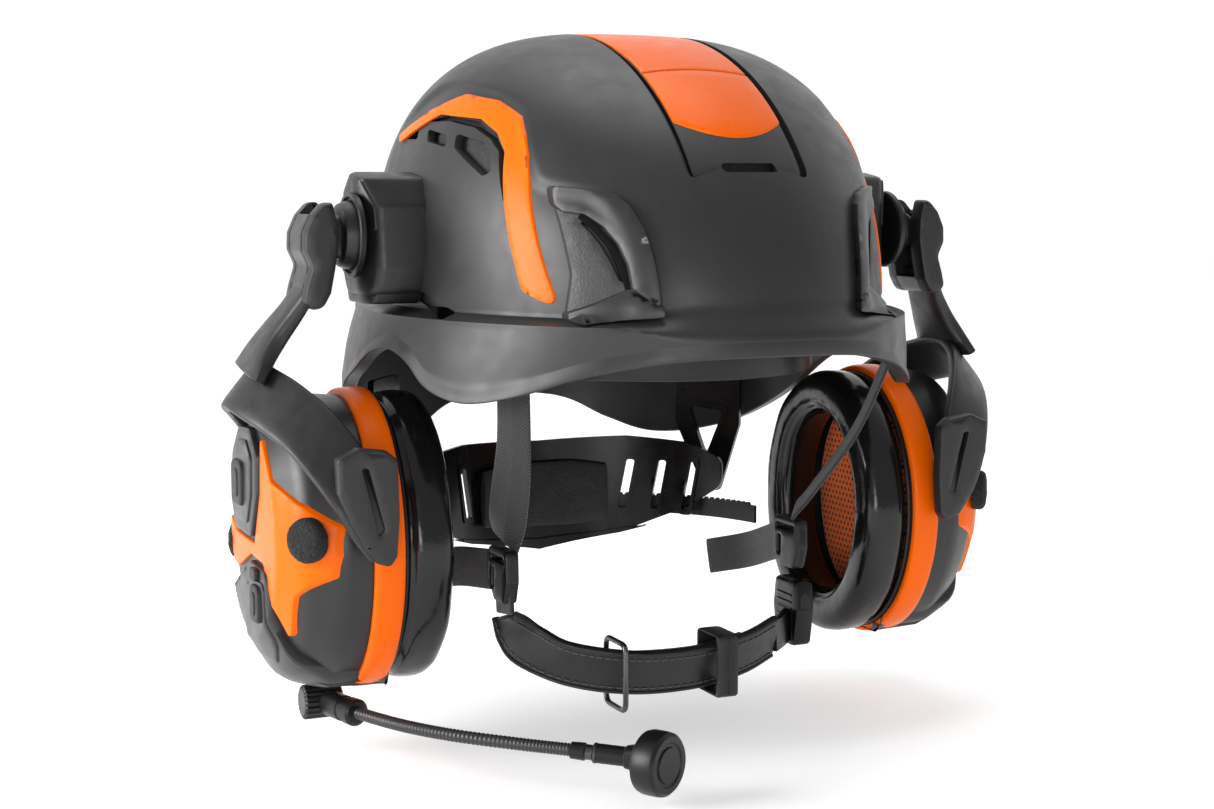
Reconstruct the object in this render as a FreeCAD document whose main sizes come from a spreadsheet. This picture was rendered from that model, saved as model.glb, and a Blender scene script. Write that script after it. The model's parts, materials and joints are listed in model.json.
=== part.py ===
"""Forestry helmet with folding ear defenders and a microphone boom.

Frame: the front of the helmet is -Y, the wearer's left is +X, +Z is up. Millimetres. The origin is the
centre of the head opening. Paired pieces are drawn on the wearer's right (-X) and mirrored to the left.
"""
import FreeCAD, Part
import math
import os
from FreeCAD import Placement, Rotation, Vector

SIZES = [
    # the dome is a stack of ovals standing on the skirt
    ("shell_half_width", 98), ("shell_half_length", 136), ("shell_centre", 2), ("shell_top", 153),
    ("dome_base", 46), ("shell_wall", 4),
    ("panel_half_width", 23.6), ("panel_depth", 2.5), ("trim_proud", 0.9), ("clip_proud", 1.6),
    ("hook_proud", 4.2), ("liner_thickness", 20), ("webbing_half_width", 9),
    # head ring
    ("head_half_width", 72), ("head_half_length", 94), ("band_thickness", 1.6), ("band_height", 26),
    ("band_low", 19), ("pad_thickness", 4),
    # nape cradle, rack bands and ratchet, all round one upright axis
    ("cradle_radius", 80), ("cradle_centre", 12), ("cradle_wall", 2.4), ("cradle_low", -78),
    ("cradle_height", 54), ("rack_radius", 84.4), ("rack_wall", 1.6), ("rack_lane", 9.5),
    ("pinion_height", -46), ("pinion_radius", 6), ("knob_radius", 17), ("knob_depth", 11),
    # arm and yoke
    ("mount_height", 72.5), ("mount_face", 117.6), ("disc_radius", 16.5), ("disc_depth", 7.6),
    ("pin_radius", 3), ("running_gap", 0.05), ("tilt_height", 70), ("tilt_reach", 134),
    # ear cup
    ("cup_half_depth", 49), ("cup_half_height", 59), ("cup_centre_y", -5), ("cup_centre_z", -46.5),
    ("band_inner", 112), ("band_outer", 124), ("face_reach", 155), ("cup_wall", 3),
    ("cushion_depth", 23.6), ("pivot_reach", 127), ("pivot_height", -42), ("foam_radius", 8.5),
    ("button_travel", 1), ("upper_button_radius", 9), ("lower_button_radius", 7.5),
    # boom and straps
    ("boom_height", -114), ("boom_reach", 130), ("gooseneck_radius", 2.5), ("mic_radius", 12),
    ("strap_width", 16), ("strap_thickness", 1.6), ("chin_width", 19),
    ("chin_thickness", 2.6),
]

doc = FreeCAD.newDocument("forestry_helmet")
sheet = doc.addObject("Spreadsheet::Sheet", "Sizes")
for row, (alias, number) in enumerate(SIZES, start=1):
    sheet.set(f"A{row}", alias)
    sheet.set(f"B{row}", str(number))
    sheet.setAlias(f"B{row}", alias)
doc.recompute()
size = {alias: float(sheet.get(alias)) for alias, _ in SIZES}
nodes = []


def node(label, item):
    """Give a finished sub-part its own label and put it on the export list."""
    item.Label = label
    nodes.append(item)
    return item


def bind(item, **links):
    for prop, expression in links.items():
        item.setExpression(prop, expression)
    return item


# ---- outlines on sketches ----------------------------------------------------------------------------

def rounded(points, radius):
    """Lines and arcs round a polygon whose corners are all rounded to one radius."""
    corners = [Vector(u, v, 0) for u, v in points]
    geometry, ends = [], []
    for index, corner in enumerate(corners):
        before = (corners[index - 1] - corner).normalize()
        after = (corners[(index + 1) % len(corners)] - corner).normalize()
        half = before.getAngle(after) / 2
        reach = radius / math.tan(half)
        start, end = corner + before * reach, corner + after * reach
        middle = corner + (before + after).normalize() * (radius / math.sin(half) - radius)
        geometry.append(Part.Arc(start, middle, end))
        ends.append((start, end))
    for index, (_, end) in enumerate(ends):
        geometry.append(Part.LineSegment(end, ends[(index + 1) % len(ends)][0]))
    return geometry


def polygon(points):
    corners = [Vector(u, v, 0) for u, v in points]
    return [Part.LineSegment(a, b) for a, b in zip(corners, corners[1:] + corners[:1])]


def rectangle(low_u, low_v, high_u, high_v):
    return [(low_u, low_v), (high_u, low_v), (high_u, high_v), (low_u, high_v)]


def oval(u, v, half_u, half_v):
    if half_u >= half_v:
        return [Part.Ellipse(Vector(u + half_u, v, 0), Vector(u, v + half_v, 0), Vector(u, v, 0))]
    return [Part.Ellipse(Vector(u, v + half_v, 0), Vector(u + half_u, v, 0), Vector(u, v, 0))]


def spline(points):
    curve = Part.BSplineCurve()
    curve.interpolate([Vector(u, v, 0) for u, v in points])
    return curve


# ---- solids --------------------------------------------------------------------------------------------

def prism(label, role, start, length, geometry):
    """A padded sketch on one origin plane, from `start` along that plane's axis (Z, X or +Y)."""
    body = doc.addObject("PartDesign::Body", label)
    plane = next(item for item in body.Origin.OriginFeatures if item.Role == role)
    sketch = body.newObject("Sketcher::SketchObject", label + "_sketch")
    sketch.AttachmentSupport = (plane, "")
    sketch.MapMode = "FlatFace"
    backwards = role == "XZ_Plane"
    bind(sketch, **{"AttachmentOffset.Base.z": f"-({start})" if backwards else str(start)})
    sketch.addGeometry(geometry, False)
    pad = body.newObject("PartDesign::Pad", label + "_pad")
    pad.Profile = sketch
    pad.Reversed = backwards
    bind(pad, Length=str(length))
    body.Tip = pad
    return body


def cylinder(label, centre, axis, radius, length):
    """A round bar from `centre` along `axis`, with radius and length bound to the sheet."""
    bar = doc.addObject("Part::Cylinder", label)
    bind(bar, Radius=str(radius), Height=str(length))
    bar.Placement = Placement(Vector(*centre), Rotation(Vector(0, 0, 1), Vector(*axis)))
    return bar


def fuse(label, *items):
    result = doc.addObject("Part::MultiFuse", label)
    result.Shapes = list(items)
    return result


def cut(label, base, *tools):
    """Take each tool away in turn."""
    for index, tool in enumerate(tools):
        result = doc.addObject("Part::Cut", f"{label}_cut{index}")
        result.Base = base
        result.Tool = tool
        result.Refine = False
        base = result
    return base


def common(label, first, second):
    result = doc.addObject("Part::MultiCommon", label)
    result.Shapes = [first, second]
    return result


def group(label, *items):
    result = doc.addObject("Part::Compound", label)
    result.Links = list(items)
    return result


def mirrored(label, source):
    result = doc.addObject("Part::Mirroring", label)
    result.Source = source
    result.Normal = Vector(1, 0, 0)
    return result


def turned(label, source, centre, angle):
    """A copy of `source` turned about an upright axis."""
    result = doc.addObject("Part::Compound", label)
    result.Links = [source]
    result.Placement = Placement(Vector(), Rotation(Vector(0, 0, 1), angle), Vector(*centre))
    return result


def loft(label, sections):
    """A ruled loft through ellipses, each (placement, half size along local x, half size along local y)."""
    rings = []
    for index, (place, major, minor) in enumerate(sections):
        ring = doc.addObject("Part::Ellipse", f"{label}_ring{index}")
        bind(ring, MajorRadius=str(major), MinorRadius=str(minor))
        ring.Placement = place
        rings.append(ring)
    result = doc.addObject("Part::Loft", label)
    result.Sections = rings
    result.Solid = True
    result.Ruled = True
    return result


def ribbon(label, stations):
    """A solid strip through stations of (centre, half width vector, half thickness vector)."""
    wires = []
    for centre, wide, thick in stations:
        middle, wide, thick = Vector(*centre), Vector(*wide), Vector(*thick)
        corners = [middle - wide - thick, middle + wide - thick,
                   middle + wide + thick, middle - wide + thick]
        wires.append(Part.makePolygon(corners + corners[:1]))
    solid = Part.makeLoft(wires, True, True)
    if solid.Volume < 0:
        solid.reverse()
    strip = doc.addObject("Part::Feature", label)
    strip.Shape = solid
    return strip


def strap(label, centres, wide, width, thickness):
    """A ribbon whose broad side lies along `wide` and whose thickness follows the bends."""
    points = [Vector(*centre) for centre in centres]
    stations = []
    for index, point in enumerate(points):
        along = points[min(index + 1, len(points) - 1)] - points[max(index - 1, 0)]
        across = Vector(*wide[index] if isinstance(wide[0], tuple) else wide)
        across = (across - along * (across.dot(along) / along.dot(along))).normalize()
        normal = along.cross(across).normalize()
        stations.append((point, across * (width / 2), normal * (thickness / 2)))
    return ribbon(label, stations)


def pair(name, item):
    """Export a right-hand piece and its mirror image as two nodes."""
    node(f"{name}_right", item)
    node(f"{name}_left", mirrored(f"{name}_left", item))


def twin(name, item):
    """Export a right-hand piece and its mirror image as one node."""
    return node(name, group(name, item, mirrored(f"{name}_mirror", item)))


# ---- shell and what is fixed to it ---------------------------------------------------------------------

DOME_STEPS = [0.2, 0.36, 0.5, 0.62, 0.73, 0.82, 0.89, 0.94, 0.975, 0.993]
SKIRT = [(-31, 112, 133.5, 3.5), (12, 112.5, 138.5, 3.5), (28, 110, 140, 2), (40, 106.5, 141, 0)]


def level_oval(centre_y, height, half_x, half_y):
    """A closed level curve: a circle stretched both ways, so that every one starts at the same side."""
    stretch = FreeCAD.Matrix()
    stretch.scale(half_x, half_y, 1)
    ring = Part.Wire([Part.Circle().toShape().transformGeometry(stretch).Edges[0]])
    ring.translate(Vector(0, centre_y, height))
    return ring


def helmet_solid(label, inset):
    """The whole outer form, shrunk by `inset` on every side.

    Part::Ellipse refuses a minor radius above its major one, and near the crown the ovals turn from long to
    wide, so this loft is made with Part's own functions from the sheet's sizes.
    """
    rings = [level_oval(centre, height, half_width - inset, half_length - inset)
             for height, half_width, half_length, centre in SKIRT]
    base, rise = size["dome_base"], size["shell_top"] - inset - size["dome_base"]
    for step in [0] + DOME_STEPS:
        narrow = (1 - step ** 3) ** (1 / 3)
        short = (1 - step ** 1.9) ** (1 / 1.9)
        rings.append(level_oval(size["shell_centre"], base + step * rise,
                                (size["shell_half_width"] - inset) * narrow,
                                (size["shell_half_length"] - inset) * short))
    solid = doc.addObject("Part::Feature", label)
    solid.Shape = Part.makeLoft(rings, True, True)
    return solid


form = helmet_solid("form", 0)
form_clear = helmet_solid("form_clear", -0.15)
form_inner = helmet_solid("form_inner", size["shell_wall"])


def layer(label, outer, inner):
    """The skin between two insets of the helmet form."""
    return cut(label, helmet_solid(label + "_out", outer), helmet_solid(label + "_in", inner))


def below_brim():
    """Everything under the brim line, which dips beside the face, arches over the ear and drops behind."""
    line = [(-160, 31.5), (-136, 31), (-112, 24), (-90, 15.5), (-70, 12), (-52, 16), (-38, 25), (-22, 29),
            (-6, 26), (10, 18), (25, 11), (50, -6), (80, -21), (108, -27), (124, -21), (138, -9), (160, -6)]
    geometry = [spline(line)] + polygon([line[-1], (160, -60), (-160, -60), line[0]])[:3]
    return prism("below_brim", "YZ_Plane", -130, 260, geometry)


STRIPE = [(22, 111.8), (-7, 121.5), (-25, 126.5), (-44, 123.5), (-60, 117), (-67, 110), (-72, 103),
          (-95.5, 47.5), (-82, 53.2), (-62, 104), (-54.5, 111), (-43, 116.5), (-16, 119), (17, 108.5)]
VENTS = [[(-31, 110.5), (-54, 104.5), (-58, 96), (-37, 102.5)], [(-9, 113.5), (-26, 110.8), (-29, 106),
         (-13, 108.5)], [(12, 113), (0, 113.2), (-2, 109.5), (10, 109.8)]]
PANEL_FRONT, PANEL_REAR, PANEL_LOW = -114, 112, 96


def vent_tools(name, growth):
    """Prisms through the three slots on the wearer's right and the slot above the brow."""
    tools = []
    for index, corners in enumerate(VENTS):
        centre_y = sum(corner[0] for corner in corners) / 4
        centre_z = sum(corner[1] for corner in corners) / 4
        grown = [(y + math.copysign(growth, y - centre_y), z + math.copysign(growth, z - centre_z))
                 for y, z in corners]
        tools.append(prism(f"{name}{index}", "YZ_Plane", -120, 80, rounded(grown, 1.2)))
    return tools


def make_shell():
    right_slots = vent_tools("vent_hole", 0)
    left_slots = [mirrored(f"vent_hole_left{index}", slot) for index, slot in enumerate(right_slots)]
    brow_slot = prism("brow_slot", "XZ_Plane", -130, 40, rounded(rectangle(-12, 96.2, 12, 99.4), 1.2))
    block = prism("panel_block", "XY_Plane", PANEL_LOW, 70,
                  rounded(rectangle(-24, PANEL_FRONT, 24, PANEL_REAR), 4))
    recess = cut("panel_recess", block, helmet_solid("recess_floor", size["panel_depth"]))
    rail_side = [(-15, 49), (-12, 54.5), (-57, 41), (-58, 35)]
    rail_block = prism("rail_block", "YZ_Plane", -130, 60, rounded(rail_side, 2))
    rail = cut("accessory_rail", rail_block, helmet_solid("rail_floor", 2.6))
    left_rail = mirrored("accessory_rail_left", rail)
    return node("shell", cut("shell", form, below_brim(), form_inner, recess, brow_slot,
                             *right_slots, *left_slots, rail, left_rail))


def make_crown():
    """The ridge panel over the crown with its two coloured inlays."""
    skin = layer("panel_skin", 1, size["panel_depth"] - 0.1)
    outline = prism("panel_outline", "XY_Plane", PANEL_LOW + 0.5, 70,
                    rounded(rectangle(-size["panel_half_width"], PANEL_FRONT + 0.5,
                                      size["panel_half_width"], PANEL_REAR - 0.5), 4))
    slot = prism("panel_slot", "XZ_Plane", -130, 40, rounded(rectangle(-13, 95, 13, 99.8), 1.2))
    node("crown_panel", cut("crown_panel", common("panel_blank", skin, outline), slot))
    inlay_skin = layer("inlay_skin", 0.1, 0.9)
    half = size["panel_half_width"] - 1.2
    front = prism("inlay_front_outline", "XY_Plane", 90, 70,
                  polygon([(-half, -69), (half, -69), (half, -96), (0, -104), (-half, -96)]))
    rear = prism("inlay_rear_outline", "XY_Plane", 90, 70, polygon(rectangle(-half, -68, half, 10)))
    node("crown_inlays", group("crown_inlays", common("inlay_front", inlay_skin, front),
                               common("inlay_rear", inlay_skin, rear)))


def make_shell_trim():
    """Grilles behind the vents, the two side stripes and the lamp clips beside the brow."""
    backing = layer("grille_skin", size["shell_wall"] + 0.2, size["shell_wall"] + 1.4)
    patch = prism("grille_patch", "YZ_Plane", -120, 80,
                  rounded([(17, 116), (-30, 117), (-62, 106), (-62, 93), (-34, 98), (17, 104)], 3))
    right = common("grille_right", backing, patch)
    brow = common("grille_brow", backing, prism("brow_patch", "XZ_Plane", -130, 60,
                                                rounded(rectangle(-15, 93, 15, 102), 2)))
    node("vent_grilles", group("vent_grilles", right, mirrored("grille_left", right), brow))
    stripe_skin = layer("stripe_skin", -size["trim_proud"], -0.1)
    twin("side_stripes", common("stripe_right", stripe_skin,
                                prism("stripe_outline", "YZ_Plane", -120, 110, polygon(STRIPE))))
    plate = [(-66, 46), (-64, 62), (-66.5, 86), (-57, 88), (-50.5, 82), (-45.5, 66), (-44.5, 49)]
    hook = [(-67.5, 91.5), (-57, 91), (-49, 88), (-43, 78), (-40.5, 64), (-39.5, 48), (-43.7, 48),
            (-44.7, 66), (-49.6, 83), (-56.8, 88.8), (-67.3, 87)]
    plates = common("clip_plate_right", layer("clip_skin", -size["clip_proud"], -0.1),
                    prism("clip_outline", "XZ_Plane", -140, 100, polygon(plate)))
    twin("lamp_clip_plates", plates)
    hooks = common("clip_hook_right", layer("hook_skin", -size["hook_proud"], -0.1),
                   prism("hook_outline", "XZ_Plane", -140, 100, polygon(hook)))
    twin("lamp_clip_hooks", hooks)


def make_ear_mounts():
    """Blocks on the side walls, each with a blind bore for its arm's swivel spigot."""
    side = [(-37, 49), (-34, 90), (-26, 97), (-3, 97), (6, 90), (9, 60), (2, 49)]
    block = prism("mount_block", "YZ_Plane", "-Sizes.mount_face", 36, rounded(side, 4))
    seat = cylinder("mount_bore", (-118, -13, size["mount_height"]), (1, 0, 0),
                    "Sizes.pin_radius * 2 + Sizes.running_gap", 11)
    pair("ear_mount", cut("ear_mount_right", block, form_clear, seat))


def make_liner():
    """Impact foam inside the dome, cut off level with the head ring."""
    skin = layer("liner_skin", size["shell_wall"] + 1.6, size["shell_wall"] + size["liner_thickness"])
    crop = prism("liner_crop", "XY_Plane", 50, 120, polygon(rectangle(-130, -150, 130, 150)))
    node("impact_liner", common("impact_liner", skin, crop))


# ---- suspension ----------------------------------------------------------------------------------------

def ring(label, low, height, half_width, half_length, wall):
    """An upright oval band round the head."""
    outer = prism(label + "_outer", "XY_Plane", low, height,
                  oval(0, 0, half_width + wall, half_length + wall))
    inner = prism(label + "_inner", "XY_Plane", f"{low} - 1", f"{height} + 2",
                  oval(0, 0, half_width, half_length))
    return cut(label + "_ring", outer, inner)


def make_head_ring():
    band = ring("headband", "Sizes.band_low", "Sizes.band_height", size["head_half_width"],
                size["head_half_length"], size["band_thickness"])
    keep = prism("headband_keep", "XY_Plane", 0, 60, polygon(rectangle(-90, -110, 90, 34)))
    node("headband", common("headband", band, keep))
    soft = ring("brow_pad", "Sizes.band_low + 3", "Sizes.band_height - 6",
                size["head_half_width"] - size["pad_thickness"] - 0.3,
                size["head_half_length"] - size["pad_thickness"] - 0.3, size["pad_thickness"])
    front = prism("brow_pad_keep", "XY_Plane", 0, 60, polygon(rectangle(-90, -110, 90, -42)))
    node("brow_pad", common("brow_pad", soft, front))


CLIP_ANGLES = [0, 60, 120]
CLIP_INSET, CLIP_LOW, CLIP_HEIGHT = 17, 30, 19.4


def make_crown_webbing():
    """Three crossed webbing straps under the liner, and a clip at each of their six ends."""
    inset = size["shell_wall"] + size["liner_thickness"] + 1.5
    skin = layer("webbing_skin", inset, inset + 1.4)
    half = size["webbing_half_width"]
    lanes = []
    for angle in CLIP_ANGLES:
        lane = prism(f"lane{angle}", "XY_Plane", 52, 90, polygon(rectangle(-half, -150, half, 150)))
        lanes.append(turned(f"lane_turned{angle}", lane, (0, 0, 0), angle))
    node("crown_webbing", common("crown_webbing", skin, fuse("lanes", *lanes)))
    clips = []
    for angle in CLIP_ANGLES + [angle + 180 for angle in CLIP_ANGLES]:
        swing = math.radians(angle)
        reach = 1 / math.hypot(math.sin(swing) / (size["shell_half_width"] - CLIP_INSET),
                               math.cos(swing) / (size["shell_half_length"] - CLIP_INSET))
        clip = prism(f"clip{angle}", "XY_Plane", CLIP_LOW, CLIP_HEIGHT,
                     rounded(rectangle(-10, reach - 2.5, 10, reach + 2.5), 1))
        clips.append(turned(f"clip_turned{angle}", clip, (0, 0, 0), -angle))
    node("suspension_clips", group("suspension_clips", *clips))


def sector(label, low, height, radius, wall, from_angle, to_angle):
    """Part of an upright tube round the cradle axis; angles start straight behind and grow to the left."""
    centre = (0, size["cradle_centre"])
    points = []
    for reach, order in ((radius + wall, (from_angle, to_angle)), (radius, (to_angle, from_angle))):
        for angle in (order[0], sum(order) / 2, order[1]):
            swing = math.radians(angle)
            points.append(Vector(reach * math.sin(swing), centre[1] + reach * math.cos(swing), 0))
    geometry = [Part.Arc(*points[:3]), Part.LineSegment(points[2], points[3]),
                Part.Arc(*points[3:]), Part.LineSegment(points[5], points[0])]
    return prism(label, "XY_Plane", low, height, geometry)


def make_cradle():
    blank = sector("cradle_blank", "Sizes.cradle_low", "Sizes.cradle_height", size["cradle_radius"],
                   size["cradle_wall"], -64, 64)
    leaf = [(-90, -38), (-72, -28), (-40, -25), (0, -26), (40, -25), (72, -28), (90, -38), (74, -52),
            (40, -70), (0, -77.5), (-40, -70), (-74, -52)]
    outline = prism("cradle_outline", "XZ_Plane", 0, 110, rounded(leaf, 3))
    slot = prism("cradle_slot", "XZ_Plane", 60, 60, rounded(rectangle(-1.8, -60, 1.8, -36), 1.2))
    slots = []
    for angle in (-52, -41, -30, 30, 41, 52):
        slots.append(turned(f"cradle_slot{angle}", slot, (0, size["cradle_centre"], 0), angle))
    node("nape_cradle", cut("nape_cradle", common("cradle_leaf", blank, outline), *slots))
    node("nape_pad", sector("nape_pad", -66, 30, size["cradle_radius"] - size["pad_thickness"] - 0.4,
                            size["pad_thickness"], -24, 24))


HOUSING_RADIUS, HOUSING_DEPTH, SHAFT_RADIUS = 82.8, 9.2, 4


def make_ratchet():
    """Two overlapping rack bands, the housing they slide in, and the knob whose pinion lies between them."""
    level = size["pinion_height"]
    tooth_gap = size["pinion_radius"] + 0.3
    lane = size["rack_lane"]
    radius, wall = size["rack_radius"], size["rack_wall"]
    node("rack_band_right", sector("rack_band_right", level + tooth_gap, "Sizes.rack_lane",
                                   radius, wall, -76, 9))
    node("rack_band_left", sector("rack_band_left", level - tooth_gap - lane, "Sizes.rack_lane",
                                  radius, wall, -9, 76))
    tall = 2 * (tooth_gap + lane) + 4
    case = sector("housing_case", level - tall / 2, tall, HOUSING_RADIUS, HOUSING_DEPTH, -19, 19)
    lane_room = [sector(f"housing_lane{index}", low, lane + 0.6, radius - 0.3, wall + 0.6, -30, 30)
                 for index, low in enumerate((level + tooth_gap - 0.3, level - tooth_gap - lane - 0.3))]
    floor = size["cradle_radius"] + size["cradle_centre"]
    well = cylinder("housing_well", (0, floor + 3.7, level), (0, 1, 0),
                    "Sizes.pinion_radius + 0.25", 5)
    bore = cylinder("housing_bore", (0, floor, level), (0, 1, 0),
                    f"{SHAFT_RADIUS} + Sizes.running_gap", 30)
    node("ratchet_housing", cut("ratchet_housing", case, *lane_room, well, bore))
    back = HOUSING_RADIUS + HOUSING_DEPTH + size["cradle_centre"]
    wheel = cylinder("knob_wheel", (0, back + 0.3, level), (0, 1, 0),
                     "Sizes.knob_radius", "Sizes.knob_depth")
    shaft = cylinder("knob_shaft", (0, floor + 3.2, level), (0, 1, 0), SHAFT_RADIUS, 9.5)
    pinion = cylinder("knob_pinion", (0, floor + 4, level), (0, 1, 0), "Sizes.pinion_radius", 4.2)
    node("ratchet_knob", fuse("ratchet_knob", wheel, shaft, pinion))


def make_height_brackets():
    """Hanging plates with a three-cornered hole, one each side behind the ears."""
    outline = [(-16, 8), (16, 8), (17, -20), (2, -52), (-6, -52), (-16, -20)]
    hole = [(-8, -14), (10, -12), (1, -36)]
    plate = prism("bracket_plate", "XZ_Plane", 112, 3, rounded(outline, 3))
    window = prism("bracket_window", "XZ_Plane", 105, 20, rounded(hole, 2))
    flat = cut("bracket_flat", plate, window)
    twin("height_brackets", turned("bracket_right", flat, (0, 12, 0), 52))


# ---- straps --------------------------------------------------------------------------------------------

RIGHT_DIVIDER = (-70, -45, -58)
LEFT_DIVIDER = (61, -38, -56)


def make_straps():
    width, thickness = size["strap_width"], size["strap_thickness"]
    routes = {
        "front_strap_right": ([(-80, -82, 24), (-76, -72, -6), (-72, -55, -34), (-70, -47, -45.2)],
                              (0.4, -0.9, 0)),
        "front_strap_left": ([(80, -82, 24), (74, -68, -6), (66, -49, -32), (62, -40, -43.2)],
                             (0.4, 0.9, 0)),
        "rear_strap_right": ([(-72, -33, -57), (-76, -5, -62), (-77, 30, -72), (-71, 56, -80)],
                             (0, 0.2, 1)),
        "rear_strap_left": ([(64, -26, -57), (73, 0, -64), (77, 30, -73), (71, 56, -80)],
                            (0, 0.2, 1)),
    }
    bands = {label: strap(label, centres, wide, width, thickness)
             for label, (centres, wide) in routes.items()}
    node("front_straps", group("front_straps", bands["front_strap_right"], bands["front_strap_left"]))
    node("rear_straps", group("rear_straps", bands["rear_strap_right"], bands["rear_strap_left"]))
    slides = []
    for index, (x, y, z) in enumerate((RIGHT_DIVIDER, LEFT_DIVIDER)):
        plate = prism(f"divider{index}", "YZ_Plane", x - 3, 6,
                      rounded(rectangle(y - 10, z - 11, y + 10, z + 10), 3))
        slot = prism(f"divider_slot{index}", "YZ_Plane", x - 5, 10,
                     rounded(rectangle(y - 8.5, z + 5, y + 8.5, z + 7.5), 1))
        slides.append(cut(f"divider_cut{index}", plate, slot))
    node("strap_dividers", group("strap_dividers", *slides))


def make_chin_strap():
    """The padded strap that hinges at the right divider and locks into the buckle socket on the left."""
    path = [(-68.5, -47.5, -78), (-61.5, -52, -86.5), (-48, -60, -93), (-24, -67, -97),
            (2, -69, -97), (26, -63, -95), (44, -54, -92)]
    wide = [(0.2, -0.4, 1), (0.5, -0.4, 0.8)] + [(0, -0.3, 1)] * 5
    node("chin_strap", strap("chin_strap", path, wide, size["chin_width"], size["chin_thickness"]))
    pad = [(-40, -58.8, -94), (-24, -63, -96.4), (2, -64.9, -96.4), (24, -59.6, -94.4)]
    node("chin_pad", strap("chin_pad", pad, (0, -0.3, 1), size["chin_width"] - 3,
                           size["chin_thickness"]))
    collar = prism("keeper_outer", "YZ_Plane", 8, 9, rounded(rectangle(-76, -109, -56.5, -84), 2))
    hole = prism("keeper_hole", "YZ_Plane", 6, 14, rounded(rectangle(-73.6, -107.8, -58.0, -84.9), 1))
    node("strap_keeper", cut("strap_keeper", collar, hole))
    loop = prism("ring_outer", "YZ_Plane", -33, 3, rounded(rectangle(-76, -111, -55.5, -83), 3))
    gap = prism("ring_hole", "YZ_Plane", -35, 7, rounded(rectangle(-74, -109, -57.5, -85), 2))
    node("strap_ring", cut("strap_ring", loop, gap))
    case = prism("socket_case", "YZ_Plane", 57, 10, rounded(rectangle(-50, -100, -28, -70.5), 3))
    mouth = prism("socket_mouth", "YZ_Plane", 50, 14,
                  rounded(rectangle(-46.5, -101, -31.5, -82), 0.6))
    node("buckle_socket", cut("buckle_socket", case, mouth))
    tongue = prism("tongue_plate", "YZ_Plane", 57.5, 4.5,
                   rounded(rectangle(-45.8, -98, -32.2, -83), 2))
    link = strap("tongue_link", [(44.6, -53.6, -92), (52, -48, -91), (58.2, -41, -90.5)], (0, 0, 1), 13, 3)
    node("buckle_tongue", fuse("buckle_tongue", tongue, link))


# ---- arm, yoke and ear cup on the wearer's right --------------------------------------------------------

ARM_Y = -13


def make_arm():
    """Swivel disc on the helmet, the arm that tilts out on it, and the yoke that slides in the arm."""
    height, reach, level = size["mount_height"], size["tilt_reach"], size["tilt_height"]
    face = -size["mount_face"] - 0.3
    disc = cylinder("disc_plate", (face, ARM_Y, height), (-1, 0, 0),
                    "Sizes.disc_radius", "Sizes.disc_depth")
    spigot = cylinder("disc_spigot", (face + 10, ARM_Y, height), (-1, 0, 0),
                      "Sizes.pin_radius * 2", 12)
    lug_side = [(-120, level - 9), (-120, level + 9), (-reach - 5.5, level + 5.5),
                (-reach - 5.5, level - 5.5)]
    lug = prism("disc_lug", "XZ_Plane", ARM_Y - 7, 14, rounded(lug_side, 4.5))
    bore = cylinder("disc_lug_bore", (-reach, -60, level), (0, 1, 0),
                    "Sizes.pin_radius + Sizes.running_gap", 100)
    pair("swivel_disc", cut("swivel_disc_right", fuse("disc_solid", disc, spigot, lug), bore))

    pin = cylinder("arm_pin", (-reach, ARM_Y - 14, level), (0, 1, 0), "Sizes.pin_radius", 28)
    cheek = [(-127.2, level + 6.5), (-140.5, level + 6.5), (-144, level - 26), (-136, level - 26),
             (-127.2, level - 8)]
    cheeks = [prism(f"arm_cheek{index}", "XZ_Plane", low, 7.6, rounded(cheek, 3))
              for index, low in enumerate((ARM_Y - 15, ARM_Y + 7.4))]
    neck = ribbon("arm_neck", [((-139.5, ARM_Y, 52), (0, 15, 0), (4, 0, 2)),
                               ((-142.5, ARM_Y + 1, 45), (0, 12, 0), (4, 0, 2)),
                               ((-150, ARM_Y + 8, 33), (0, 15, 0), (4, 0, 2.4)),
                               ((-157.5, -4, 21), (0, 19, 0), (3.6, 0, 2.2))])
    channel = ribbon("arm_channel", [((-143.5, ARM_Y + 9, 42.5), (0, 6.4, 0), (1.8, 0, 1.1)),
                                     ((-166.9, ARM_Y + 9, 5), (0, 6.4, 0), (1.8, 0, 1.1))])
    pair("arm", cut("arm_right", fuse("arm_solid", pin, neck, *cheeks), channel))

    stem = ribbon("yoke_stem", [((-145.63, ARM_Y + 9, 39), (0, 6, 0), (1.35, 0, 0.84)),
                                ((-160.6, ARM_Y + 9, 15), (0, 6, 0), (1.35, 0, 0.84))])
    legs = []
    route = [(-161, 3, 13), (-158.5, 22, 7), (-148, 40, -6), (-134.5, 52, -22), (-124, 56, -36),
             (-121.5, 56, -63)]
    lean = [(0.62, 0, 0.78), (0.7, 0, 0.7), (0.85, 0, 0.5), (1, 0, 0.2), (1, 0, 0), (1, 0, 0)]
    for index, side in enumerate((-1, 1)):
        centres = [(x, size["cup_centre_y"] + side * out, z) for x, out, z in route]
        legs.append(strap(f"yoke_leg{index}", centres, lean, 15, 4.4))
    bridge = ribbon("yoke_bridge", [((-161, -12, 13), (-5, 0, 6.2), (2.4, 0, 1.9)),
                                    ((-161, 2, 13), (-5, 0, 6.2), (2.4, 0, 1.9))])
    pins = []
    for index, side in enumerate((-1, 1)):
        start = (-size["pivot_reach"], size["cup_centre_y"] + side * 54, size["pivot_height"])
        pins.append(cylinder(f"yoke_pin{index}", start, (0, -side, 0), "Sizes.pin_radius", 9))
    pair("yoke", fuse("yoke_right", stem, bridge, *legs, *pins))


CUP_STATIONS = [(135, -2, -1.5, 1, 0), (148, -6.5, -6.5, 4, 2), (155, -14.5, -18.5, 9, 5)]


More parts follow.
